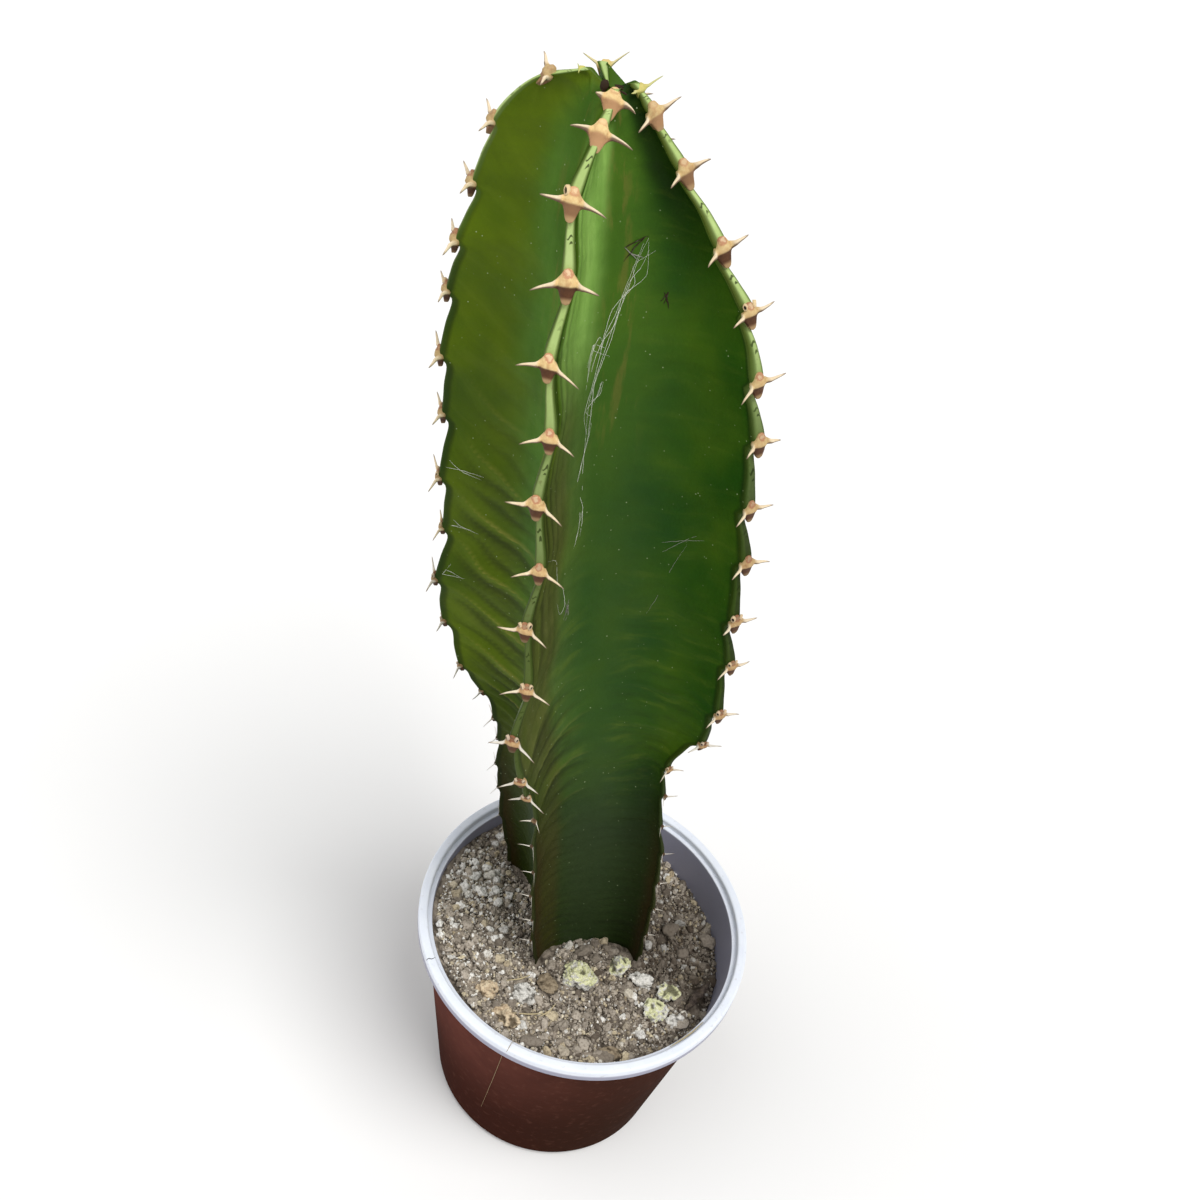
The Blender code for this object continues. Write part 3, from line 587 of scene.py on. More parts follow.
def skin_material():
    m = Finish("spurge_skin")
    fold, band, valley, height, olive, across, light = m.attributes(
        "fold band valley height olive across light")
    broad, fine = m.speckle(24 * MM, 4.0), m.speckle(3 * MM, 5.0)
    upright = m.speckle(3.4 * MM, 4.0, 0.6, stretch=(1.0, 1.0, 0.08))
    lanes = m.node("CombineXYZ", m.attribute("lane") * 5.0, valley * 2.0, across)
    streaks = m.noise(lanes, 1.0, 4.0)
    deep = m.blend(broad, (20, 62, 4), (54, 104, 16))
    warm = m.blend(broad, (64, 88, 2), (112, 134, 18))
    # The valley's waxy green, partly its own colour and partly a painted bluish sheen
    valley_wax_sheen = m.blend(m.between(height, 0.6, 0.85), (40, 78, 34), (70, 110, 34))
    lime = m.between(m.speckle(16 * MM, 3.0, stretch=(1.0, 1.0, 0.5)), 0.25, 0.6)
    # Painted highlight: the lit skin, paler on the upper stem
    lit = m.blend(m.between(height, 0.72, 0.84), m.blend(upright, (78, 96, 48), (128, 142, 92)),
                  m.blend(upright, (96, 144, 48), (184, 226, 124)))
    rust = m.between(upright, 0.5, 0.62) * m.between(height, 0.66, 0.78) * m.between(valley, 0.7, 1.0)
    ridged = (m.between(valley, 1.0, 0.7) * (m.between(height, 0.62, 0.35) + 0.35)
              * m.between(height, 0.2, 0.36))
    # Painted shade on the lower stem, under its wide upper part
    shade = m.blend(m.between(valley, 0.2, 0.9), (30, 36, 12), (46, 56, 34))
    tan = m.blend(m.between(height, 0.25, 0.45), (72, 60, 26),
                  m.blend(upright, (56, 56, 18), (106, 96, 56)))
    # Painted light on the folds: a painted highlight on their crests and painted shade in their grooves
    fold_shading = m.between(height, 0.2, 0.34) * 0.4 + 0.25
    ridge = m.blend(olive, (92, 112, 60), (164, 156, 72))
    green = m.coats(
        m.blend(olive + (broad - 0.5) * 1.1, deep, warm),
        (m.between(valley, 0.35, 0.9) * 0.6, valley_wax_sheen),
        (m.attribute("lime") * lime * 0.7, m.blend(upright, (74, 122, 34), (108, 150, 58))),
        # painted highlight where the flank's light is above 0
        (m.between(light, 0.0, 1.0) * 0.8, lit),
        (rust * 0.4, (128, 116, 56)),
        # painted shade where the flank's light is below 0
        (m.between(light, 0.0, -1.0) * 0.7, (8, 22, 0)),
        (ridged * m.between(streaks, 0.5, 0.72) * 0.16, (142, 158, 54)),
        (ridged * m.between(streaks, 0.48, 0.28) * 0.22, (22, 40, 4)),
        # painted shade on the lower stem
        (m.between(height, 0.42, 0.2) * 0.8, shade),
        (m.attribute("brown") * 0.72, tan),
        # painted highlight on the fold crests
        (m.between(fold, 0.05, 0.9) * fold_shading,
         m.blend(m.between(height, 0.42, 0.26), ridge, (92, 88, 46))),
        # painted shade in the fold grooves
        (m.between(fold, -0.1, -0.9) * fold_shading, (24, 28, 6)))
    specks = m.between(m.cells(2.3 * MM), 0.1, 0.05) * m.between(fine, 0.45, 0.6)
    green = m.coats(
        m.blend(fine * 0.3, green, (24, 50, 12), "SOFT_LIGHT"),
        (m.between(valley, 0.28, 0.03) * m.between(height, 0.34, 0.1) * 0.7, (52, 34, 12)),
        # Painted shade: a thin dark line along the rim's edge on the lower and middle stem
        (m.between(valley, 0.045, 0.012) * m.between(height, 0.95, 0.8) * 0.6, (20, 34, 4)),
        (specks * 0.7, (190, 206, 160)))
    pale = m.coats(
        m.blend(m.speckle(5 * MM, 3.0, stretch=(1.0, 1.0, 0.3)), (150, 178, 92), (206, 228, 156)),
        (m.between(height, 0.82, 0.5) * 0.7, (92, 110, 48)),
        (m.between(m.math("ABSOLUTE", across), 0.4, 0.95) * 0.9, (72, 94, 26)),
        (m.between(m.speckle(2.2 * MM, 5.0), 0.6, 0.72) * 0.4, (112, 100, 56)),
        # painted shade on the shaded half of a rim
        (light * 0.9, (70, 82, 22)),
        (eye_marks(m, across) * 0.85, (44, 52, 16)))
    waxy = m.speckle(1.2 * MM, 4.0) + m.speckle(7 * MM) * 2.0
    return m.done(m.blend(band, green, pale), m.speckle(6 * MM) * 0.25 + 0.45,
                  waxy, 0.12 * MM, Specular_IOR_Level=0.1)


def eye_marks(m, across):
    """A dark wavy line across the rim and a short dash above it, worn away on some nodes."""
    sway = m.math("SINE", across * 4.5) * 0.02 + (m.speckle(5 * MM, 2.0) - 0.5) * 0.2
    marks = []
    for centre, half, start, reach in ((0.55, 0.022, 0.05, 0.75), (0.45, 0.024, 0.3, 0.4)):
        rise = (m.attribute("phase") - centre - sway) / half
        aside = (across - start) / reach
        marks.append(m.between(rise * rise + aside * aside, 1.0, 0.3))
    return m.math("MAXIMUM", *marks) * m.between(m.speckle(16 * MM, 2.0), 0.36, 0.52)


def soil_height(x, y):
    """The soil's surface: level by the stem, with a rise towards one side of the rim."""
    radius, bearing = math.hypot(x, y), math.atan2(y, x)
    rise = SOIL_EDGE_RISE + SOIL_TILT * math.cos(bearing - SOIL_HIGH_BEARING)
    lumps = noise.noise(Vector((x, y, 0)) / (9 * MM))
    return SOIL_AT_STEM + rise * (radius / SOIL_EDGE_RADIUS) ** 2 + SOIL_ROUGHNESS * lumps


# Where the armatures sit on the rims
Seat = namedtuple("Seat", "rib node height place outward up young newest")
# The youngest shields at the growing tip: size, spine lengths and leans on each side, greenness
Young = namedtuple("Young", "size lengths leans green")
YOUNGEST = {
    "right": Young(2.5, (3.2, 5.4), (10, -46), 0.8),
    "back": Young(3.2, (5.6, 6.6), (-52, -24), 0.45),
    "left": Young(1.7, (3.2, 2.6), (-10, -30), 1.0),
    "front": Young(4.4, (4.6, 6.0), (-4, 12), 0.0),
}


def rim_place(rib, row):
    """The middle of the rim at a row."""
    rows = np.array([row])
    height = rib_height(rib, rows)
    radius = rib_tip_radius(rib, rows, height)
    turn = rib_sway(rib, rows, height) / radius
    return Vector(stem_point(height, radius, rib_bearing(rib, float(height[0])) + turn)[0])


def armature_seats():
    for rib in RIBS:
        nodes = range(math.ceil(YOUNGEST_NODE - rib.first_node))
        for node in nodes:
            row = rib.first_node + node
            height = float(rib_height(rib, row))
            place = rim_place(rib, row)
            facing = rib_bearing(rib, height) + math.radians(rib.facing)
            if place.z > soil_height(place.x, place.y) + SPINE_START:
                outward = ACROSS * math.cos(facing) + AWAY * math.sin(facing)
                newest = node == nodes[-1]
                slope = (rim_place(rib, min(row + 0.5, TOP_ROW)) - rim_place(rib, row - 0.5)).normalized()
                follow = 0 if newest and rib.name != "front" else 0.7
                up = (AXIS + follow * (slope - AXIS)).normalized()
                outward = (outward - up * outward.dot(up)).normalized()
                young = YOUNGEST[rib.name].green * newest
                yield Seat(rib, node, height, place, outward, up, young, newest)


# A shield and its spines, in shares of its size over the distance out from its middle: how far
# it reaches up and down the stem. Beyond its root a spine is round and tapers to its tip.
SHIELD_TOPS = ((0, 0.8), (0.2, 0.74), (0.3, 0.58), (0.4, 0.41), (0.52, 0.29), (0.65, 0.22),
               (0.82, 0.16))
SHIELD_FEET = ((0, -1.08), (0.18, -1.02), (0.3, -0.8), (0.4, -0.48), (0.52, -0.27), (0.65, -0.19),
               (0.82, -0.15))
SPINE_ROOT = 0.82
SPINE_ROOT_RADIUS = 0.155
SPINE_TAPER = ((0, 1), (0.2, 0.78), (0.55, 0.56), (0.88, 0.3), (1, 0.05))
# How far the shield stands out along its middle, from its tail to its scar
SHIELD_LIFTS = ((-1.05, 0.0), (-0.95, 0.06), (-0.6, 0.13), (-0.25, 0.2), (-0.1, 0.31),
                (0.03, 0.37), (0.2, 0.33), (0.45, 0.22), (0.7, 0.15), (0.8, 0.08))
BODY_STATIONS = 13
SPINE_STATIONS = 11
SECTION_SIDES = 26
SHIELD_DEPTH = 1.4
SHIELD_WRAP = 0.8
SCAR_PLACE = 0.58
SCAR_SIZE = (0.19, 0.14)
# How deep the scar is on a young shield and how much deeper on an old one, how rough a shield is
# and its lumps' size, and how it wraps round the rim as against a shield of full size
SCAR_DEPTH, SCAR_WEAR = 0.03, 0.07
SHIELD_ROUGHNESS, SHIELD_LUMPS = 0.1, 0.8
WRAP_REACH, WRAP_LIMIT, FULL_SIZE = 1.6, 1.4, 4.4
# A spine grows out of its shield from this share of its size, and turns ahead over this length
SPINE_BLEND = 0.36
SPINE_TURN = 1.2
# Random spreads: of an armature's age, its size and its spines' lengths, and a spine's bend
AGE_SPREAD = (0.75, 1)
SIZE_SPREAD = (0.92, 1.06)
LENGTH_SPREAD = (0.85, 1.05)
BEND_SPREAD = (-0.9, 0.5)
# A pit's cup, as (radius, height) shares of its size, from its skirt over its lip to its bottom
PIT_PROFILE = ((1.0, -0.9), (1.0, 0.1), (0.9, 0.3), (0.7, 0.34), (0.52, 0.2), (0.4, -0.1),
               (0.2, -0.3))
PIT_SIDES = 14
PIT_HEIGHTS = ((0, 0), (90, 0.1), (105, 0.95), (190, 0.95), (225, 0.2), (318, 0.0))
# How much painted shade darkens each ring of a pit, darkest at the bottom of its cup
PIT_SHADES = (0, 0, 0, 0.1, 0.6, 1, 1)
# The highest spines lean back, below the top of the solid
LEAN_FROM, LEAN_DROP, LEAN_BACK = 398.5 * MM, 0.42, 0.46


def shield_part(seat, draw, size, lengths, leans, age):
    """A shield over the rim with two spines that grow out of its brow, as one closed surface."""
    angle = np.linspace(0, 2 * math.pi, SECTION_SIDES, endpoint=False)
    front, back = np.maximum(np.sin(angle), 0), np.maximum(-np.sin(angle), 0)
    halves = []
    for hand, length, lean in zip((-1, 1), lengths, leans):
        root = SPINE_ROOT * size
        beyond = np.linspace(0, 1, SPINE_STATIONS + 1)[1:]
        out = np.concatenate((np.linspace(0, root, BODY_STATIONS), root + beyond * (length - root)))
        share = np.concatenate((np.zeros(BODY_STATIONS), beyond))
        taper = smooth(SPINE_TAPER, share)
        top = smooth(SHIELD_TOPS, out / size) * size * taper
        foot = smooth(SHIELD_FEET, out / size) * size * taper
        low_spread = math.radians(LOW_SPREADS[seat.rib.name][(1 + hand) // 2])
        spread = low_spread + (SPINE_SPREAD - low_spread) * float(fade(85 * MM, 125 * MM, seat.height))
        spread += draw.uniform(-SPINE_JITTER, SPINE_JITTER)
        ahead = out ** 2 / (out + SPINE_TURN)
        bend = draw.uniform(*BEND_SPREAD) * share ** 2
        path = np.stack((hand * out * math.sin(spread), bend - ahead * math.tan(lean),
                         ahead * math.cos(spread)), -1)
        v = ((top + foot) / 2)[:, None] + ((top - foot) / 2)[:, None] * np.cos(angle)
        spined = fade(SPINE_BLEND, SPINE_ROOT, out / size)[:, None]
        body = 1 - spined
        lift = smooth(SHIELD_LIFTS, v / size) * size * (1 - 0.5 * np.minimum(out / root, 1) ** 2)[:, None]
        flat = np.stack((path[:, :1] + 0 * v, v, 0 * v), -1)
        rough = SHIELD_ROUGHNESS * bumps(flat, SHIELD_LUMPS, draw.uniform(0, 50))
        hollow = np.exp(-((v / size - SCAR_PLACE) / SCAR_SIZE[1]) ** 2
                        - (out[:, None] / size / SCAR_SIZE[0]) ** 2)
        lift += body * (rough - (SCAR_DEPTH + SCAR_WEAR * age) * size * hollow)
        radius, soft = spined * (SPINE_ROOT_RADIUS * size * taper)[:, None], 0.35 + 0.65 * spined
        w = (radius + body * lift) * front ** soft - (radius + body * SHIELD_DEPTH) * back ** soft
        wrapped = np.minimum(out / WRAP_REACH, WRAP_LIMIT)[:, None] ** 2
        w -= body * SHIELD_WRAP * size / FULL_SIZE * wrapped
        halves.append((path[:, None] + np.stack((0 * v, v, w), -1), {
            "along": v / size, "aside": (hand * out / size)[:, None] + 0 * v, "rooted": spined + 0 * v,
            "spine": share[:, None] + 0 * v, "low": (1 - np.cos(angle)) / 2 + 0 * v}))
    (left, left_looks), (right, right_looks) = halves
    local = np.concatenate((left[:0:-1], right))
    tips = local[0].mean(0), local[-1].mean(0)
    axes = np.array((seat.up.cross(seat.outward), seat.up, seat.outward)) * MM
    points = np.array(seat.place) + np.concatenate((local.reshape(-1, 3), tips)) @ axes
    looks = {"age": age, "young": seat.young, "fresh": float(fade(292 * MM, 306 * MM, seat.height)),
             "dark": max(0.9 - 0.9 * float(fade(85 * MM, 120 * MM, seat.height)),
                         SHIELD_SHADES.get(seat.rib.name, 0))}
    for key in left_looks:
        values = np.concatenate((left_looks[key][:0:-1], right_looks[key]))
        looks[key] = np.append(values.ravel(), (values[0, 0], values[-1, 0]))
    return points, closed_faces(len(local), SECTION_SIDES), looks


def pit_part(seat, draw, side, size, age):
    """A small ear-shaped hollow with a raised lip, beside the scar."""
    sideways = seat.up.cross(seat.outward) * side
    facing = (sideways * 0.8 + seat.outward * 0.65 - seat.up * 0.15).normalized()
    across = facing.cross(seat.up).normalized()
    up = across.cross(facing)
    radius = draw.uniform(0.16, 0.21) * size * MM
    place = (seat.place + sideways * 0.4 * size * MM + seat.outward * 0.1 * size * MM
             + seat.up * draw.uniform(0.45, 0.6) * size * MM)
    angle = np.linspace(0, 2 * math.pi, PIT_SIDES, endpoint=False)
    ring = np.multiply.outer(np.cos(angle), across) + np.multiply.outer(np.sin(angle), up) * 1.6
    rings = [np.array(place) + radius * (h * np.array(facing) + r * ring) for r, h in PIT_PROFILE]
    points = np.concatenate((*rings, [place - facing * radius, place - facing * radius * 0.35]))
    depth = np.append(np.repeat(PIT_SHADES, PIT_SIDES), (0, 1))
    looks = {"along": 0.25, "rooted": 0.6, "age": age, "pit": depth}
    return points, closed_faces(len(PIT_PROFILE), PIT_SIDES), looks


def make_armatures():
    draw = random.Random(11)
    finish = armature_material()
    groups = {}
    for seat in armature_seats():
        name, along = seat.rib.name, seat.height / MM
        age = float(1 - fade(130, 275, along)) * draw.uniform(*AGE_SPREAD)
        size = float(smooth(SHIELD_SIZES, along)) * draw.uniform(*SIZE_SPREAD) * SHIELD_SCALES[name]
        longest = float(smooth(SPINE_LENGTHS, along)) * SPINE_SCALES[name]
        lengths = [longest * draw.uniform(*LENGTH_SPREAD) for side in (-1, 1)]
        steady = 1 - 0.4 * float(fade(215, 285, along))
        leans = [math.radians(droop) * steady + draw.uniform(-SPINE_JITTER, SPINE_JITTER)
                 for droop in DROOPS[name][seat.node % 2]]
        if seat.newest:
            size, lengths = YOUNGEST[name].size, YOUNGEST[name].lengths
            leans = [math.radians(lean) for lean in YOUNGEST[name].leans]
        shapes = groups.setdefault(name, [])
        shapes.append(shield_part(seat, draw, size, lengths, leans, age))
        for side in (-1, 1):
            if draw.random() < smooth(PIT_HEIGHTS, along):
                shapes.append(pit_part(seat, draw, side, size, age))
    for name, shapes in groups.items():
        for points, _, _ in shapes:
            over = np.maximum(0, points[:, 2:] - LEAN_FROM)
            points += over * (0, LEAN_BACK, -LEAN_DROP)
        settle(joined("armatures_" + name, shapes), finish, "stem", "plant")


def armature_material():
    m = Finish("spine_shields")
    along, aside, age, fresh, dark = m.attributes("along aside age fresh dark")
    fleck = m.speckle(0.9 * MM, 4.0)
    up, out = (along - SCAR_PLACE) / 0.24, aside / 0.28
    far = up * up + out * out + (fleck - 0.5) * 2.4
    ring = m.blend(m.between(far, 0.1, 0.6), m.blend(age, (236, 204, 166), (84, 48, 34)),
                   m.blend(age, (200, 136, 104), (122, 72, 50)))
    # The lower lobe under the brow: its own reddish brown, darkened by painted shade where it faces down
    # under the brow, and paler on the freshest shields
    lobe_and_shade = m.blend(fresh * 0.8, m.blend(fleck, (66, 38, 22), (116, 76, 48)), (206, 160, 116))
    body = m.coats(
        m.blend(fleck, (212, 162, 104), (252, 232, 172)),
        (age * 0.7, m.blend(fleck, (122, 80, 54), (190, 148, 108))),
        (m.between(m.speckle(2.5 * MM, 4.0), 0.5, 0.7) * 0.45, (168, 112, 72)),
        (m.between(along, 0.02, -0.14), lobe_and_shade),
        (m.between(along, -0.6, -0.92), m.blend(age * 0.85, (190, 156, 112), (70, 64, 34))),
        (m.between(far, 1.6, 0.7) * (0.85 - fresh * 0.55), ring),
        # darker low shields, and painted shade on the left rib's shields, seen side on
        (dark, m.blend(fleck, (34, 24, 16), (74, 58, 42))))
    bone = m.coats(
        m.blend(m.speckle(1.5 * MM), (220, 192, 152), (250, 236, 206)),
        (m.math("MAXIMUM", m.between(age, 0.5, 1.0), m.between(dark, 0.5, 0.9)), (220, 214, 202)),
        # Painted shade on the underside of each spine
        (m.between(m.attribute("low"), 0.35, 0.7) * 0.85, (92, 62, 42)),
        (m.between(m.attribute("spine"), 0.55, 1.0), (140, 120, 100)))
    tint = m.coats(
        body,
        (m.between(m.attribute("rooted"), 0.3, 0.95), bone),
        (m.attribute("young") * 0.8, m.blend(m.between(along, -0.3, 0.5), (130, 158, 52), (208, 206, 110))),
        # Painted shade wherever the surface faces down
        (m.between(m.axis(2, source=1), 0.05, -0.5) * 0.45, (60, 36, 22)),
        # painted shade in the pits' cups
        (m.attribute("pit"), (26, 15, 8)))
    return m.done(tint, fleck * 0.25 + 0.5, m.speckle(0.5 * MM), 0.12 * MM, Specular_IOR_Level=0.2)


def settle(piece, finish, node, slot_name):
    """Give a piece its finish, its body and the solid that it stands for. Its slot is not used."""
    piece.data.materials.append(finish)
    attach(piece, "root")
    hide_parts(node)


def turned(name, profile, sides):
    """A profile of (radius, z) points turned round Z, closed where it meets the axis."""
    angle = np.linspace(0, 2 * math.pi, sides, endpoint=False)
    rings = [np.stack((r * np.cos(angle), r * np.sin(angle), np.full(sides, z)), -1)
             for r, z in profile if r > 0]
    points = np.concatenate((*rings, [(0, 0, profile[0][1]), (0, 0, profile[-1][1])]))
    return mesh_piece(name, points, closed_faces(len(rings), sides))


def inner_wall_radius(z):
    """The pot's inner radius on the plain cone between its floor and the ledge."""
    low, high = FLOOR + DRAIN_RISE, POT_HEIGHT - LEDGE_DROP
    narrow = BASE_RADIUS - WALL
    wide = RIM_RADIUS - RIM_WIDTH - LEDGE_WIDTH
    return narrow + (wide - narrow) * (z - low) / (high - low)


def floor_profile(rise):
    """The drain ring's outline from the middle outwards, at a height above the ground."""
    inner, outer = DRAIN_RING
    half = DRAIN_SLOPE / 2
    return [(inner - half, rise), (inner + half, rise + DRAIN_RISE),
            (outer - half, rise + DRAIN_RISE), (outer + half, rise)]


def arc(centre, radius, start, end, steps):
    """Points on an arc about a centre, between two angles in degrees."""
    angles = [math.radians(start + (end - start) * i / steps) for i in range(steps + 1)]
    return [(centre[0] + radius * math.cos(a), centre[1] + radius * math.sin(a)) for a in angles]


def run(start, end, steps):
    """Evenly spaced points from start to just before end."""
    return [tuple(s + (e - s) * i / steps for s, e in zip(start, end)) for i in range(steps)]


def pot_profile():
    """From the middle of the floor up the inside, over the rim, down the outside and back."""
    top, ledge = POT_HEIGHT, POT_HEIGHT - LEDGE_DROP
    rim_inside = RIM_RADIUS - RIM_WIDTH
    wall_top = rim_inside - LEDGE_WIDTH
    lip_inside = RIM_RADIUS - WALL
    roll, half = RIM_ROLL, RIM_ROLL / 2
    foot = (BASE_RADIUS - WALL - CORNER / 2, FLOOR + CORNER / 2)
    inside = [(0, FLOOR), *floor_profile(FLOOR)]
    inside += arc(foot, CORNER / 2, -90, 0, 5)
    inside += run((foot[0] + CORNER / 2, foot[1]), (wall_top - 0.3 * MM, ledge - 0.5 * MM), 10)[1:]
    inside += arc((wall_top, ledge - 0.3 * MM), 0.3 * MM, 180, 90, 3)
    inside += [(rim_inside - 0.5 * MM, ledge)]
    inside += arc((rim_inside - 0.3 * MM, ledge + 0.3 * MM), 0.3 * MM, -90, 0, 2)
    rim = arc((rim_inside + roll, top - roll), roll, 180, 90, 6)
    rim += arc((RIM_RADIUS - roll, top - roll), roll, 90, 0, 6)
    rim += run((RIM_RADIUS, top - roll - 0.2 * MM), (RIM_RADIUS, top - LIP_DROP + half), 3)
    rim += arc((RIM_RADIUS - half, top - LIP_DROP + half), half, 0, -90, 3)
    rim += [(lip_inside, top - LIP_DROP), (lip_inside, top - WALL - 0.4 * MM)]
    outside = [(wall_top + WALL + 0.4 * MM, top - WALL - 0.4 * MM)]
    outside += run((wall_top + WALL, ledge - WALL - half), (BASE_RADIUS, CORNER), 14)
    outside += arc((BASE_RADIUS - CORNER, CORNER), CORNER, 0, -90, 6)
    return inside + rim + outside + floor_profile(0)[::-1] + [(0, 0)]


def drilled(piece):
    """Cut the drain holes through the raised ring of the floor."""
    middle = sum(DRAIN_RING) / 2
    scratch = bpy.data.collections.new("drills")
    for i in range(DRAIN_HOLES):
        angle = math.radians(360 * (i + 0.5) / DRAIN_HOLES)
        bm = bmesh.new()
        bmesh.ops.create_cone(bm, segments=24, radius1=DRAIN_HOLE_RADIUS,
                              radius2=DRAIN_HOLE_RADIUS, depth=4 * FLOOR, cap_ends=True)
        bm.transform(Matrix.Translation((middle * math.cos(angle), middle * math.sin(angle), DRAIN_RISE)))
        mesh = bpy.data.meshes.new("drill")
        bm.to_mesh(mesh)
        bm.free()
        scratch.objects.link(bpy.data.objects.new("drill", mesh))
    cut = piece.modifiers.new("drain", "BOOLEAN")
    cut.operand_type = "COLLECTION"
    cut.collection = scratch
    cut.solver = "EXACT"
    apply_modifiers(piece)
    for drill in list(scratch.objects):
        bpy.data.objects.remove(drill)
    bpy.data.collections.remove(scratch)


def apply_modifiers(piece):
    bpy.context.view_layer.update()
    graph = bpy.context.evaluated_depsgraph_get()
    mesh = bpy.data.meshes.new_from_object(piece.evaluated_get(graph))
    piece.modifiers.clear()
    piece.data = mesh


def make_pot():
    pot = turned("pot_sheet", pot_profile(), POT_SIDES)
    drilled(pot)
    settle(pot, pot_inside_material(), "pot", "pot_sheet")
    pot.data.materials.append(pot_outside_material())
    lip = POT_HEIGHT - LIP_DROP - 0.05 * MM
    for face in pot.data.polygons:
        x, y, z = face.center
        outside = math.hypot(x, y) > inner_wall_radius(z) + WALL / 2
        if z < lip and (outside or face.normal.z < -0.5):
            face.material_index = 1
    pot.data.set_sharp_from_angle(angle=math.radians(38))


def pot_inside_material():
    m = Finish("pot_lavender")
    wear = m.speckle(7 * MM, 5.0)
    pale = m.coats(
        m.blend(wear, (224, 231, 245), (244, 248, 255)),
        # Painted shade: the pot's inside is darker from about the ledge down
        (m.between(m.axis(2), 97.2 * MM, 96 * MM) * 0.85, (136, 134, 158)),
        (m.between(m.speckle(2.2 * MM, 6.0), 0.6, 0.75) * 0.25, (150, 140, 130)))
    return m.done(pale, wear * 0.2 + 0.38, m.speckle(2 * MM, 4.0), 0.06 * MM)


def pot_outside_material():
    m = Finish("pot_brown")
    wear = m.speckle(12 * MM, 5.0)
    brown = m.coats(
        m.blend(wear, (82, 44, 38), (118, 70, 60)),
        # Painted shade: darker towards the bottom
        (m.between(m.axis(2), 90 * MM, 20 * MM) * 0.85, (48, 20, 12)),
        # Painted shade: darker towards the right
        (m.between(m.axis(0), -35 * MM, 35 * MM) * 0.8, (48, 28, 18)),
        (m.between(m.speckle(3 * MM, 6.0), 0.52, 0.8) * 0.2, (124, 84, 70)))
    return m.done(brown, wear * 0.2 + 0.5, m.speckle(2 * MM, 4.0), 0.08 * MM,
                  Specular_IOR_Level=0.03, IOR=1.15)


# Soil: the rings and spokes of its top, its gap to the pot's wall, and its crumbs
SOIL_RINGS = 108
SOIL_SPOKES = 370
WALL_GAP = 0.3 * MM
CRUMB_SIZES = (3.4 * MM, 1.5 * MM)
# Small forms of the loose soil's top: (x, y) and reach and height in millimetres
HEAPS = (((7, -5), 8, 2.2), ((33, 14.5), 3.6, 1.6), ((31.5, 10.2), 2.4, -3.2),
         ((-13, -19.5), 6, -4.2), ((25, -4.5), 5.5, -2.6), ((30, -30), 8, 0.8), ((-43, 26), 6, -1))
DEEP_HOLLOW = HEAPS[2][0]


def loose_height(x, y):
    """The soil's surface with its small heaps and hollows."""
    small = sum(rise * math.exp(-((x / MM - place[0]) ** 2 + (y / MM - place[1]) ** 2) / reach ** 2)
                for place, reach, rise in HEAPS)
    return soil_height(x, y) + small * MM


def crumbs(points, size):
    """Packed crumbs: how high each point lies on its crumb, and a random share for each crumb."""
    domes, shares = [], []
    for point in (points.reshape(-1, 3) / size).tolist():
        distances, cells = noise.voronoi(point)
        domes.append(1 - distances[0])
        shares.append(math.modf(abs(cells[0].x * 12.9898 + cells[0].y * 78.233))[0])
    return np.array((domes, shares)).reshape(2, *points.shape[:-1])


def make_soil():
    """The soil's own surface under the loose grains, closed down to the pot's floor."""
    edge = inner_wall_radius(SOIL_AT_STEM) - WALL_GAP
    angle = np.linspace(0, 2 * math.pi, SOIL_SPOKES, endpoint=False)
    share = np.linspace(0, 1, SOIL_RINGS + 1)[1:]
    x = edge * np.multiply.outer(share, np.cos(angle))
    y = edge * np.multiply.outer(share, np.sin(angle))
    z = np.vectorize(loose_height)(x, y)
    wider = 1 + ((inner_wall_radius(z) - WALL_GAP) / edge - 1) * share[:, None] ** 4
    top = np.stack((x * wider, y * wider, z), -1)
    large, small = [crumbs(top * (1, 1, 0), size) for size in CRUMB_SIZES]
    top[..., 2] += (0.9 * large[0] + 0.7 * small[0] - 1.3 + 0.8 * bumps(top, 5 * MM, 1.0)) * MM
    low = FLOOR + CORNER / 2
    foot = inner_wall_radius(low) - WALL_GAP
    under = [(foot, low), (foot - CORNER / 2, FLOOR + WALL_GAP)]
    under += [(r, h + WALL_GAP) for r, h in floor_profile(FLOOR)[::-1]]
    skirt = [np.stack((r * np.cos(angle), r * np.sin(angle), np.full(SOIL_SPOKES, h)), -1)
             for r, h in under]
    rings = np.concatenate((top, np.array(skirt)))
    centres = (0, 0, soil_height(0, 0) - 0.7 * MM), (0, 0, FLOOR + WALL_GAP)
    points = np.concatenate((rings.reshape(-1, 3), centres))
    dome, tone = (0.5 * large + 0.5 * small).reshape(2, -1)
    rest = np.ones(len(points) - len(tone))
    # tone: each crumb's own tone, with painted light added on the left
    looks = {"tone": np.append(tone, 0.5 * rest) + 0.25 * lit_share(*points.T[:2]),
             "deep": np.append(1 - dome, rest), "damp": damp_share(*points.T[:2])}
    bed = mesh_piece("soil_bed", points, closed_faces(len(rings), SOIL_SPOKES, flip=True), looks)
    settle(bed, soil_material(), "soil", "soil")


def soil_material():
    m = Finish("potting_soil")
    brown = m.coats(
        m.blend(m.attribute("tone"), (76, 66, 56), (170, 158, 144)),
        (m.speckle(1.6 * MM, 6.0, 0.7) * 0.5, (150, 140, 126)),
        # Painted shade in the gaps between crumbs
        (m.between(m.attribute("deep"), 0.4, 0.75) * 0.75, (36, 29, 22)),
        (m.attribute("damp") * 0.6, (54, 44, 36)),
        (m.between(m.cells(1.3 * MM), 0.28, 0.18) * 0.4, (184, 174, 154)))
    return m.done(brown, 0.95, m.speckle(0.9 * MM, 5.0, 0.7), 0.5 * MM, Specular_IOR_Level=0.1)


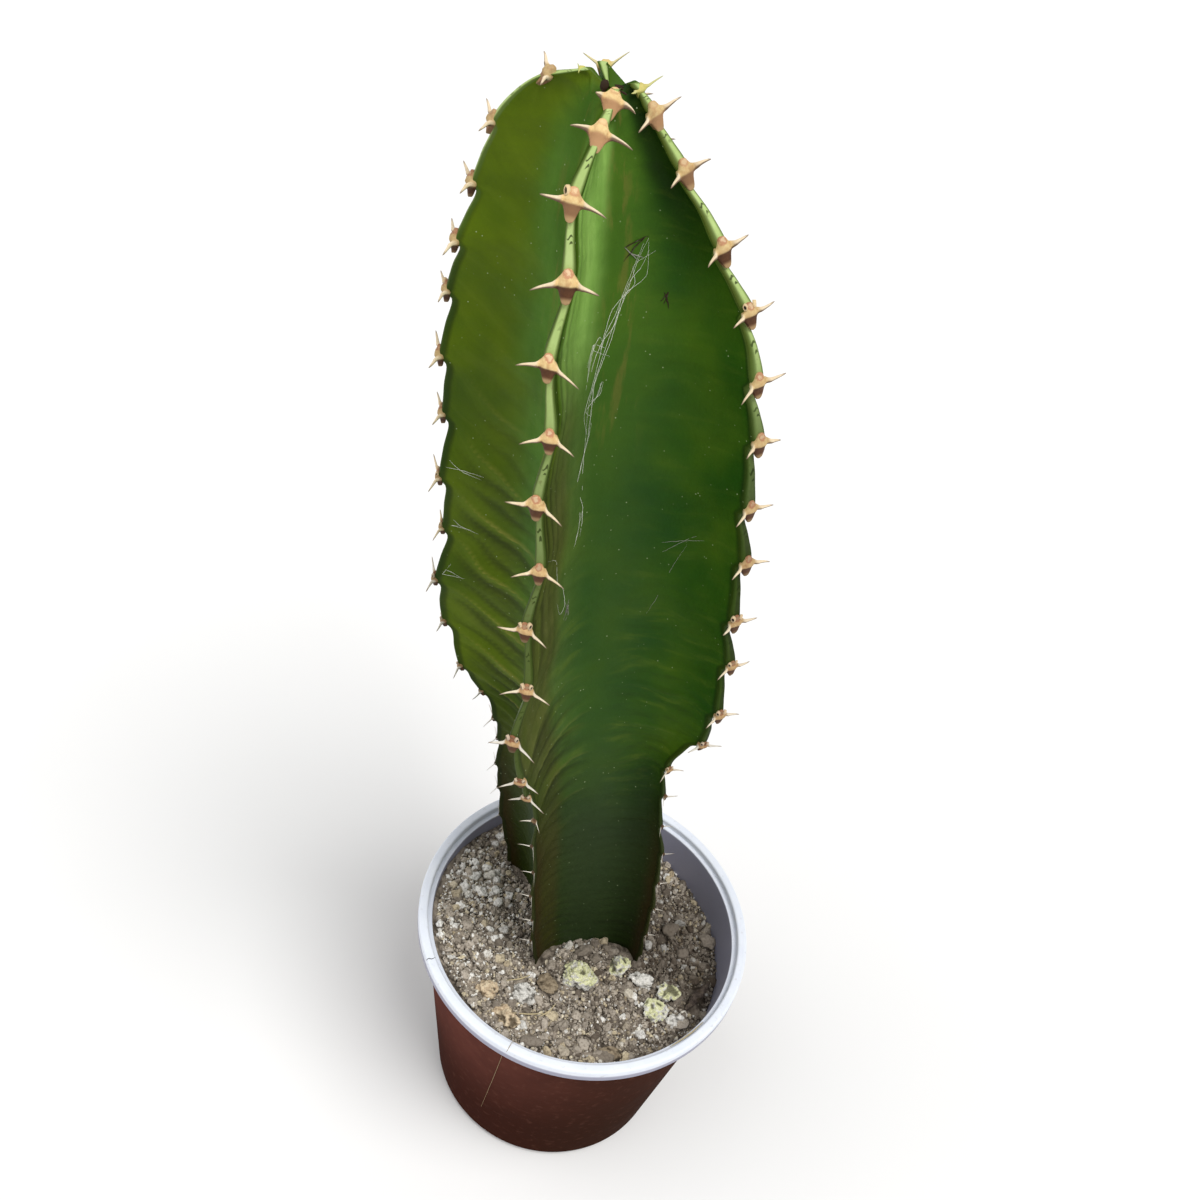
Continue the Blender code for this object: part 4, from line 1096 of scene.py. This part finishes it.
def icosphere(levels):
    bm = bmesh.new()
    bmesh.ops.create_icosphere(bm, subdivisions=levels, radius=1)
    points = np.array([vertex.co for vertex in bm.verts])
    faces = np.array([[vertex.index for vertex in face.verts] for face in bm.faces])
    bm.free()
    return points, faces


# Loose grit: how many grains, their sizes, how much of each lies in the soil, and how rough
Grit = namedtuple("Grit", "name count sizes levels sink jag seed")
GRITS = (
    Grit("grit_coarse", 420, (2.0, 4.4), 2, 0.3, 0.24, 5),
    Grit("grit_medium", 6200, (0.9, 2.1), 1, 0.2, 0.32, 6),
    Grit("grit_fine", 9400, (0.45, 1.0), 1, 0.1, 0.32, 7),
)
# Single lumps that catch the eye: (x, y), length, width and height in millimetres, turn in
# degrees, and how pale they are
LUMPS = (
    ((9.2, -0.3), (4, 3.4, 3.2), 0, 0.56), ((49.2, 26.9), (13, 4, 3), 62, 0.52),
    ((48.4, 17.6), (8, 7, 4.5), 20, 0.2), ((-1.6, -37.8), (5, 4.2, 3), 10, 0.58),
    ((-39, -28.3), (4.2, 1.5, 1.2), 40, 0.6), ((-7, -51.2), (11, 4, 2.4), 12, 0.35),
    ((5.7, -50.2), (6, 4, 2.6), -20, 0.5), ((33, 15), (8, 5.5, 3.4), 25, 0.1),
    ((-45, 8), (5.5, 4, 3.2), 30, 0.8), ((-41, 3), (6, 4.4, 3.4), -25, 0.78),
    ((-36, 6), (5, 4, 3), 60, 0.8), ((-33.5, 1), (4.6, 3.6, 3), 10, 0.74),
    ((-47, 1), (4.4, 3.4, 3), 0, 0.76), ((-40, 11), (5.4, 4.4, 3), 45, 0.7),
    ((-30, 6), (4, 3.2, 2.6), -40, 0.76), ((-49, -3), (4.6, 3.8, 3.6), 20, 0.54),
    ((-26, -22), (4.8, 3.6, 2.6), 35, 0.56), ((-23, -23), (3.2, 2.4, 2), 0, 0.55),
    ((-41, -14), (5, 4, 2.6), 0, 0.36), ((14, -3), (4.6, 4, 3.6), 0, 0.3),
    ((3, -7), (7, 5.4, 4), 30, 0.25), ((8, -9), (5, 4, 3.4), -10, 0.2),
    ((0, -2), (4.4, 4, 3), 0, 0.3),
    ((27, -8), (3.6, 3, 2.4), 0, 0.66), ((40, 8), (6, 5, 3), 0, 0.15), ((42, -12), (7, 3.4, 2), 70, 0.4),
    ((44, -22), (9, 6, 2.4), 30, 0.38), ((20, -46), (9, 5, 2), 20, 0.47), ((12, -44), (6, 4, 2), -30, 0.3),
)

# How far from the middle the grit lies, how near to the deep hollow and to the wall it comes, and
# how far the stem's ribs and valleys keep it away
GRIT_REACH = 54.6 * MM
HOLLOW_REACH = 2.2 * MM
GRIT_GAP = 0.1 * MM
RIB_FOOT_REACH = 31 * MM
VALLEY_FOOT_REACH = 15.5 * MM


def stem_outline_radius(bearing):
    """About how far the stem reaches at the soil, in a direction from its foot."""
    reach = VALLEY_FOOT_REACH
    for rib in RIBS:
        turn = math.remainder(bearing - rib_bearing(rib, 0), 2 * math.pi)
        reach = max(reach, RIB_FOOT_REACH * math.cos(min(abs(turn) * 4, math.pi / 2)))
    return reach


STONE_STARTS = (("stone_mossy", "mossy_stone"), ("stone_white", "white_stone"),
                ("stone_tan", "tan_stone"), ("bark", "bark"))
STONE_BOXES = [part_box(name) for name in sorted(frame["nodes"])
               if name.startswith(tuple(start for start, _ in STONE_STARTS))]


def under_stone(x, y):
    """Whether a place lies well inside the outline of a loose stone or bark piece."""
    for low, high in STONE_BOXES:
        across = (x - (low.x + high.x) / 2) / (high.x - low.x)
        along = (y - (low.y + high.y) / 2) / (high.y - low.y)
        if math.hypot(across, along) < 0.52:
            return True
    return False


def inside_pot(points):
    """Points pulled in to the pot's wall where they lie beyond it."""
    limit = inner_wall_radius(points[:, 2]) - GRIT_GAP
    points[:, :2] *= np.minimum(1, limit / np.hypot(points[:, 0], points[:, 1]))[:, None]
    return points


def make_grit(kind):
    """Thousands of small angular grains lying on the soil, each its own closed stone."""
    shape, faces = icosphere(kind.levels)
    draw = np.random.default_rng(kind.seed)
    kept = []
    while len(kept) < kind.count:
        radius, bearing = math.sqrt(draw.random()) * GRIT_REACH, draw.random() * 2 * math.pi
        x, y = radius * math.cos(bearing), radius * math.sin(bearing)
        away = math.hypot(x - STEM_FOOT.x, y - STEM_FOOT.y)
        towards = math.atan2(y - STEM_FOOT.y, x - STEM_FOOT.x)
        hollow = math.hypot(x - DEEP_HOLLOW[0] * MM, y - DEEP_HOLLOW[1] * MM) < HOLLOW_REACH
        if away > stem_outline_radius(towards) and not under_stone(x, y) and not hollow:
            kept.append((x, y))
    spots = np.array(kept)
    size = np.exp(draw.uniform(*np.log(kind.sizes), kind.count)) * MM
    squash = draw.uniform(0.5, 1.0, (kind.count, 3))
    squash[:, 0] = 1
    turn = np.linalg.qr(draw.normal(size=(kind.count, 3, 3)))[0]
    wobble = 1 + kind.jag * draw.uniform(-1, 1, (kind.count, len(shape), 1))
    grains = shape[None] * wobble * squash[:, None] * size[:, None, None] / 2
    grains = np.einsum("nij,nkj->nki", turn, grains)
    lift = np.array([loose_height(x, y) for x, y in kept]) - 0.3 * MM + size * (0.5 - kind.sink) * 0.6
    points = (grains + np.concatenate((spots, lift[:, None]), 1)[:, None]).reshape(-1, 3)
    every = faces[None] + (np.arange(kind.count) * len(shape))[:, None, None]
    # tone: each grain's own random tone, with painted light added on the left
    looks = {"tone": draw.random(kind.count) + 0.25 * lit_share(*spots.T),
             "pale": pale_share(*spots.T, draw), "damp": damp_share(*spots.T)}
    looks = {key: np.repeat(values, len(shape)) for key, values in looks.items()}
    piece = mesh_piece(kind.name, inside_pot(points), every.reshape(-1, 3).tolist(), looks)
    piece.data.shade_flat()
    settle(piece, grit_finish(), "soil", "soil")


def chipped(points, draw, count):
    """Points pressed flat against random planes, which leaves a chipped, angular lump."""
    for _ in range(count):
        normal = draw.normal(size=3)
        normal /= np.linalg.norm(normal)
        reach = points @ normal
        over = np.maximum(0, reach - draw.uniform(0.68, 0.9) * reach.max())
        points = points - over[:, None] * normal
    return points


def spun(points, degrees):
    """Points turned round Z."""
    return points @ np.array(Matrix.Rotation(math.radians(degrees), 3, "Z")).T


# The lumps: how many chips are taken off each, how rough they are and their bumps' size, how high
# they lie as a share of their height, and how dark or light they are
LUMP_CHIPS = 9
LUMP_ROUGHNESS, LUMP_BUMPS = 0.16, 1.6
LUMP_LIFT = 0.22
LUMP_TONES = (0.3, 0.9)


def make_lumps():
    """The larger lumps and pebbles that lie on the soil, each one closed and angular."""
    shape, faces = icosphere(4)
    draw = np.random.default_rng(21)
    shapes = []
    for (x, y), sizes, turn, pale in LUMPS:
        lump = chipped(shape * np.array(sizes) / 2, draw, LUMP_CHIPS)
        rough = bumps(lump, LUMP_BUMPS, draw.uniform(0, 90)) / np.linalg.norm(lump, axis=1)
        lump = spun(lump * (1 + LUMP_ROUGHNESS * min(sizes) * rough[:, None]), turn) * MM
        centre = (x * MM, y * MM, loose_height(x * MM, y * MM) + LUMP_LIFT * sizes[2] * MM)
        points = inside_pot(lump + centre)
        looks = {"tone": draw.uniform(*LUMP_TONES), "pale": pale, "damp": 0.6 * damp_share(*points.T[:2])}
        shapes.append((points, faces.tolist(), looks))
    settle(joined("grit_lumps", shapes), grit_finish(), "soil", "soil")


PALE_PATCH = ((-42 * MM, 5 * MM), 13 * MM)
DAMP_PATCHES = (((36 * MM, 14 * MM), 19 * MM), ((42 * MM, -4 * MM), 12 * MM),
                ((-30 * MM, 26 * MM), 9 * MM))


def nearness(x, y, centre, size):
    """1 at a centre and falling to nothing a few sizes away."""
    return np.exp(-((x - centre[0]) ** 2 + (y - centre[1]) ** 2) / size ** 2)


def pale_share(x, y, draw):
    """How pale each grain is: most are so in a patch by the wall at the left."""
    near, side = nearness(x, y, *PALE_PATCH), 1 - fade(-34 * MM, 10 * MM, x)
    return np.clip(draw.random(len(x)) ** 1.8 * 0.8 + 0.36 * near + 0.09 * side, 0, 1)


def damp_share(x, y):
    return np.clip(sum(nearness(x, y, *patch) for patch in DAMP_PATCHES), 0, 1)


def lit_share(x, y):
    """How much painted light brightens the soil and its grains: most on the left."""
    return 1 - fade(-36 * MM, 26 * MM, x + 0.5 * y + 8 * MM)


@cache
def grit_finish():
    m = Finish("grit_finish")
    tone, pale = m.attributes("tone pale")
    clods = m.speckle(0.8 * MM, 5.0)
    body = m.coats(
        m.blend(tone, (86, 76, 66), (190, 180, 166)),
        (m.between(pale, 0.45, 0.6), m.blend(tone, (176, 158, 128), (222, 210, 180))),
        (m.between(pale, 0.62, 0.74), m.blend(tone, (208, 206, 200), (248, 246, 240))),
        (m.between(clods, 0.45, 0.7) * 0.6, (98, 86, 74)),
        (m.attribute("damp") * 0.6, (60, 50, 40)))
    return m.done(body, 0.9, clods, 0.2 * MM, Specular_IOR_Level=0.15)


# Marks on the plant's skin: thickness in millimetres, how dark each is, how many strands it has,
# and its path in runs, each a rib and (row, part) places on the flank beside it
Mark = namedtuple("Mark", "width dark strands path")
MARK_SIDES = {"right": -1, "front": 1, "left": 1}
MARKS = (
    Mark(0.095, 0.0, 5, (("right", (16.75, 0.7), (16.38, 0.82), (15.94, 0.91)),
                         ("front", (15.51, 0.99), (15.07, 0.91), (14.63, 0.82), (14.32, 0.74),
                          (13.88, 0.74)))),
    Mark(0.095, 0.0, 3, (("front", (13.88, 0.74), (13.26, 0.72), (12.38, 0.74), (12.1, 0.73)),)),
    Mark(0.095, 0.1, 3, (("front", (15.07, 0.91), (15.19, 0.78), (15.0, 0.72), (14.7, 0.7)),)),
    Mark(0.095, 0.2, 2, (("front", (14.32, 0.74), (14.38, 0.87), (14.57, 0.91)),)),
    Mark(0.09, 0.1, 1, (("front", (12.51, 0.1), (12.0, 0.38), (11.5, 0.5), (11.26, 0.57),
                         (10.95, 0.6), (10.9, 0.53), (11.14, 0.49)),)),
    Mark(0.3, 1.0, 2, (("right", (16.57, 0.95), (16.7, 0.82), (16.78, 0.7)),)),
    Mark(0.26, 0.7, 2, (("right", (16.5, 0.9), (16.45, 0.78)),)),
    Mark(0.42, 1.0, 2, (("right", (15.9, 0.62), (15.76, 0.6), (15.66, 0.61)),)),
    Mark(0.22, 0.8, 3, (("front", (10.7, 0.6), (10.86, 0.64), (11.01, 0.66)),)),
    Mark(0.12, 0.0, 2, (("left", (12.32, 0.04), (12.2, 0.13), (12.07, 0.27)),)),
    Mark(0.12, 0.0, 2, (("left", (11.24, 0.04), (11.14, 0.1), (11.01, 0.23)),)),
    Mark(0.12, 0.0, 2, (("left", (10.24, 0.04), (10.2, 0.07), (10.07, 0.16)),)),
    Mark(0.09, 0.45, 2, (("right", (11.76, 0.57), (11.86, 0.46), (12.01, 0.3)),)),
    Mark(0.07, 0.5, 1, (("right", (10.39, 0.66), (10.82, 0.57), (11.39, 0.49), (11.82, 0.38)),)),
)
MARK_LIFT = 0.07 * MM
# How far a mark's first strand and its others stray, in rows, and how they shake
STRAY, MORE_STRAY = 0.03, 0.16
SHAKE_SIZE = 1.3 * MM
# Threads elsewhere, in millimetres: a hair over the rim and down the wall, a short crack in the
# rim, and dry stalks lying on the soil by the wall
HAIR = ((-10.8, -52.5, 92), (-11.6, -56.2, 97.5), (-12, -57.4, 99.7), (-12.4, -59.2, 99.75),
        (-12.8, -60.6, 98.9), (-13.3, -60.2, 95.4), (-14, -56.6, 93.2), (-14.7, -54.6, 80),
        (-15.8, -51.9, 62), (-17, -49.3, 44), (-18.2, -46.9, 27))
CRACK = ((-47.3, -35, 99.52), (-48.2, -36.1, 99.56), (-49.3, -36.3, 99.56), (-49.9, -37.1, 99.2))
STALKS = (((41.2, -40.2, 97.3), (44.2, -36.8, 97.5), (47.8, -32.2, 97.5), (51, -26.8, 97.3)),
          ((-6, -40, 90.2), (-3.2, -37.2, 90.6), (-1.4, -33, 90.2)),
          ((-17, -42, 90.6), (-10, -40.6, 90.9), (-4.5, -38.2, 90.4)),
          ((-21, -30, 90.4), (-16, -27.5, 90.6), (-13.5, -24.6, 89.6)))
# Brown scales at the growing point: (place), (length, width, height) and turn
TIP_SCALES = (((-48, 7, 399.4), (2.0, 2.2, 2.8), 0), ((-44.6, 7.4, 399.6), (2.4, 0.6, 0.5), -20),
              ((-43.2, 5.6, 399.4), (2.4, 0.5, 0.5), -32), ((-45, 9.4, 399.2), (2.2, 0.7, 0.5), 10))


def skin_spot(name, row, part):
    """A point just above the skin, on the flank beside a rib."""
    index, side = [rib.name for rib in RIBS].index(name), MARK_SIDES[name]
    other = RIBS[(index + side) % len(RIBS)]
    flank = FACES[index][0] if side > 0 else FACES[index - 1][1]
    here, inward, upward = [
        flank_points(RIBS[index], other, side, part + more, np.array([row + higher]), flank)[0][0]
        for more, higher in ((0, 0), (0.01, 0), (0, 0.05))]
    normal = side * np.cross(inward - here, upward - here)
    return here + normal / np.linalg.norm(normal) * MARK_LIFT


def tube(path, width, steps, dark, sides=5):
    """A thin closed strand through a path of points, thinner towards both ends."""
    spots = np.linspace(0, len(path) - 1, steps)
    path = np.stack([smooth(tuple(enumerate(values)), spots) for values in np.array(path).T], -1)
    along = np.gradient(path, axis=0)
    side = np.cross(along, (0.3, 0.2, 1))
    side /= np.linalg.norm(side, axis=1)[:, None]
    up = np.cross(along, side)
    up /= np.linalg.norm(up, axis=1)[:, None]
    thick = width / 2 * (0.35 + 0.65 * np.sin(math.pi * np.linspace(0, 1, steps)))
    angle = np.linspace(0, 2 * math.pi, sides, endpoint=False)[None, :, None]
    ring = np.cos(angle) * side[:, None] + np.sin(angle) * up[:, None]
    points = (path[:, None] + thick[:, None, None] * ring).reshape(-1, 3)
    points = np.concatenate((points, path[:1], path[-1:]))
    return points, closed_faces(steps, sides), {"dark": dark}


def make_marks():
    """Cobweb strands, scabs and scratches on the skin, and brown scales at the growing point."""
    draw = random.Random(5)
    shapes = []
    for mark in MARKS:
        for strand in range(mark.strands):
            stray = STRAY + MORE_STRAY * min(strand, 1)
            path = [skin_spot(name, row + draw.uniform(-stray, stray),
                              min(max(part + draw.uniform(-stray, stray) / 3, 0.02), 0.99))
                    for name, *spots in mark.path for row, part in spots]
            points, faces, looks = tube(path, mark.width * MM, 8 * len(path), mark.dark)
            shake = np.stack([bumps(points, SHAKE_SIZE, strand + 9 * turn) for turn in range(3)], -1)
            points = points + (0.1 + 0.5 * mark.width * mark.dark) * MM * shake
            shapes.append((points, faces, looks))
    shape, faces = icosphere(3)
    for place, sizes, turn in TIP_SCALES:
        scale = shape * np.array(sizes) / 2 * (1 + 0.14 * bumps(shape, 0.5, turn))[:, None]
        shapes.append(((spun(scale, turn) + place) * MM, faces.tolist(), {"dark": 1.2}))
    finish = mark_finish("web_and_scabs", (250, 251, 240), (56, 44, 34))
    settle(joined("skin_marks", shapes), finish, "stem", "plant")


def mark_finish(name, light, dark):
    m = Finish(name)
    worn = (m.speckle(1.1 * MM, 4.0) - 0.5) * 0.35
    colour = m.blend(m.attribute("dark") + worn, light, dark)
    return m.done(colour, 0.85, Specular_IOR_Level=0.1)


def make_threads(name, paths, colours, node, slot_name):
    """Strands in one piece, each a path, a width and how dark it is, in millimetres."""
    shapes = [tube(np.array(path) * MM, width * MM, 10 * len(path), dark)
              for path, width, dark in paths]
    settle(joined(name, shapes), mark_finish(name, *colours), node, slot_name)


STONE_COLOURS = {"mossy_stone": ((196, 194, 186), (252, 250, 244)),
                 "white_stone": ((188, 186, 180), (252, 249, 242)),
                 "tan_stone": ((172, 148, 120), (240, 222, 190)), "bark": ((44, 37, 35), (84, 74, 68))}
BARK_TONES = {"bark_strip": 0.05, "bark_flake": 1.0, "bark_chip": 0.9}
# The bark strip leans up against the wall
STRIP_LEAN = 0.34
# The loose stones: their voxels, how many chips are taken off, how far they swell to make up for
# it, and how deep their roughness is
STONE_VOXEL = 0.34 * MM
STONE_CHIPS = 12
STONE_SWELL = 1.14
STONE_RELIEF = 0.9 * MM
BARK_RELIEF = 0.35 * MM


def make_stones():
    """Each loose stone and bark piece, its solid made finer and rough."""
    for index, name in enumerate(sorted(frame["nodes"])):
        for start, slot_name in STONE_STARTS:
            if name.startswith(start):
                refined_stone(name, slot_name, index)


def refined_stone(name, slot_name, seed):
    mesh = frame["nodes"][name].data.copy()
    mesh.materials.clear()
    piece = bpy.data.objects.new(name + "_fine", mesh)
    bpy.context.scene.collection.objects.link(piece)
    remesh = piece.modifiers.new("even", "REMESH")
    remesh.mode = "VOXEL"
    remesh.voxel_size = STONE_VOXEL
    piece.modifiers.new("soften", "SMOOTH").iterations = 2
    apply_modifiers(piece)
    points = np.array([vertex.co for vertex in piece.data.vertices])
    if slot_name != "bark":
        middle = points.mean(0)
        points = chipped(points - middle, np.random.default_rng(seed), STONE_CHIPS) * STONE_SWELL + middle
    if name == "bark_strip":
        points[:, 2] += STRIP_LEAN * (points[:, 1] - points[:, 1].min())
    move_to(piece, points)
    normals = np.array([vertex.normal for vertex in piece.data.vertices])
    crags = np.abs(bumps(points, 3.4 * MM, seed)) + 0.6 * np.abs(bumps(points, 1.6 * MM, seed + 9))
    lump = 0.9 - 2.0 * crags + 0.6 * bumps(points, 0.6 * MM, seed + 4)
    relief = BARK_RELIEF if slot_name == "bark" else STONE_RELIEF
    move_to(piece, points + normals * lump[:, None] * relief)
    piece.data.shade_smooth()
    add_looks(piece, {"crag": crags, "tone": 0 * crags + BARK_TONES.get(name, 0)})
    settle(piece, stone_finish(slot_name), name, slot_name)


def move_to(piece, points):
    piece.data.vertices.foreach_set("co", points.astype(np.float32).ravel())
    piece.data.update()


@cache
def stone_finish(kind):
    m = Finish(kind + "_finish")
    fleck, fine = m.speckle(1.6 * MM, 6.0, 0.65), m.speckle(0.7 * MM, 5.0)
    grain = m.between(fleck, 0.3, 0.7)
    base = m.blend(m.attribute("tone"), m.blend(grain, *STONE_COLOURS[kind]),
                   m.blend(grain, (118, 104, 84), (176, 160, 136)))
    if kind == "mossy_stone":
        patch = m.axis(2, source=1) + (m.speckle(4 * MM, 4.0) - 0.5) * 3.0
        moss = m.blend(m.between(fine, 0.35, 0.65), (192, 195, 118), (240, 240, 190))
        base = m.blend(m.between(patch, 0.35, 0.8) * 0.75, base, moss)
    base = m.coats(base, (m.between(fleck, 0.56, 0.68) * 0.5, (116, 106, 86)),
                   # Painted shade in the stone's creases
                   (m.between(m.attribute("crag"), 0.36, 0.7) * 0.8, (50, 42, 30)))
    return m.done(base, 0.9, fine, 0.5 * MM, Specular_IOR_Level=0.15)


# Camera: where it stands and how it is turned, from the pot's outline in the photograph
CAMERA_PLACE = Vector((0, -284.935, 511.594)) * MM
CAMERA_YAW = math.radians(-4.367)
CAMERA_PITCH = math.radians(41.959)
CAMERA_ROLL = math.radians(13.212)


def make_camera():
    camera = bpy.data.objects.new("camera", bpy.data.cameras.new("camera"))
    camera.matrix_world = (Matrix.Translation(CAMERA_PLACE) @ Matrix.Rotation(-CAMERA_YAW, 4, "Z")
                           @ Matrix.Rotation(math.pi / 2 - CAMERA_PITCH, 4, "X")
                           @ Matrix.Rotation(CAMERA_ROLL, 4, "Z"))
    camera.data.lens = 39.0
    camera.data.sensor_width = 36
    camera.data.clip_start = 0.01
    bpy.context.scene.collection.objects.link(camera)
    bpy.context.scene.camera = camera


def make_sun(name, place, strength, spread, colour=(1, 1, 1)):
    """A soft light from far away, shining from a direction and spread over an angle in degrees."""
    lamp = bpy.data.lights.new(name, "SUN")
    lamp.energy = strength
    lamp.angle = math.radians(spread)
    lamp.color = colour
    light = bpy.data.objects.new(name, lamp)
    light.location = place
    light.rotation_euler = (-light.location).to_track_quat("-Z", "Y").to_euler()
    bpy.context.scene.collection.objects.link(light)


def make_stage():
    bpy.ops.mesh.primitive_plane_add(size=6)
    floor = bpy.context.object
    floor.name = "floor"
    m = Finish("floor_paper")
    paper = m.blend(m.speckle(0.4), (238, 238, 238), (246, 246, 246))
    floor.data.materials.append(m.done(paper, 0.9))
    world = bpy.data.worlds.new("studio")
    world.use_nodes = True
    world.node_tree.nodes["Background"].inputs["Color"].default_value = (1, 1, 1, 1)
    world.node_tree.nodes["Background"].inputs["Strength"].default_value = 0.42
    bpy.context.scene.world = world
    make_sun("key", (0.5, -0.34, 1.15), 2.1, 36, (1, 0.99, 0.97))
    make_sun("fill", (-0.8, -0.3, 1.1), 0.8, 60)
    bpy.context.scene.view_settings.view_transform = "Standard"


make_camera()
make_stage()
make_skin()
make_armatures()
make_pot()
make_soil()
for grit in GRITS:
    make_grit(grit)
make_lumps()
make_stones()
make_marks()
make_threads("pot_threads", ((HAIR, 0.22, 0.35), (CRACK, 0.3, 1.0)),
             ((196, 172, 132), (60, 52, 50)), "pot", "pot_sheet")
make_threads("soil_stalks", [(path, 0.6, 0.1) for path in STALKS],
             ((196, 182, 146), (96, 82, 62)), "soil", "soil")
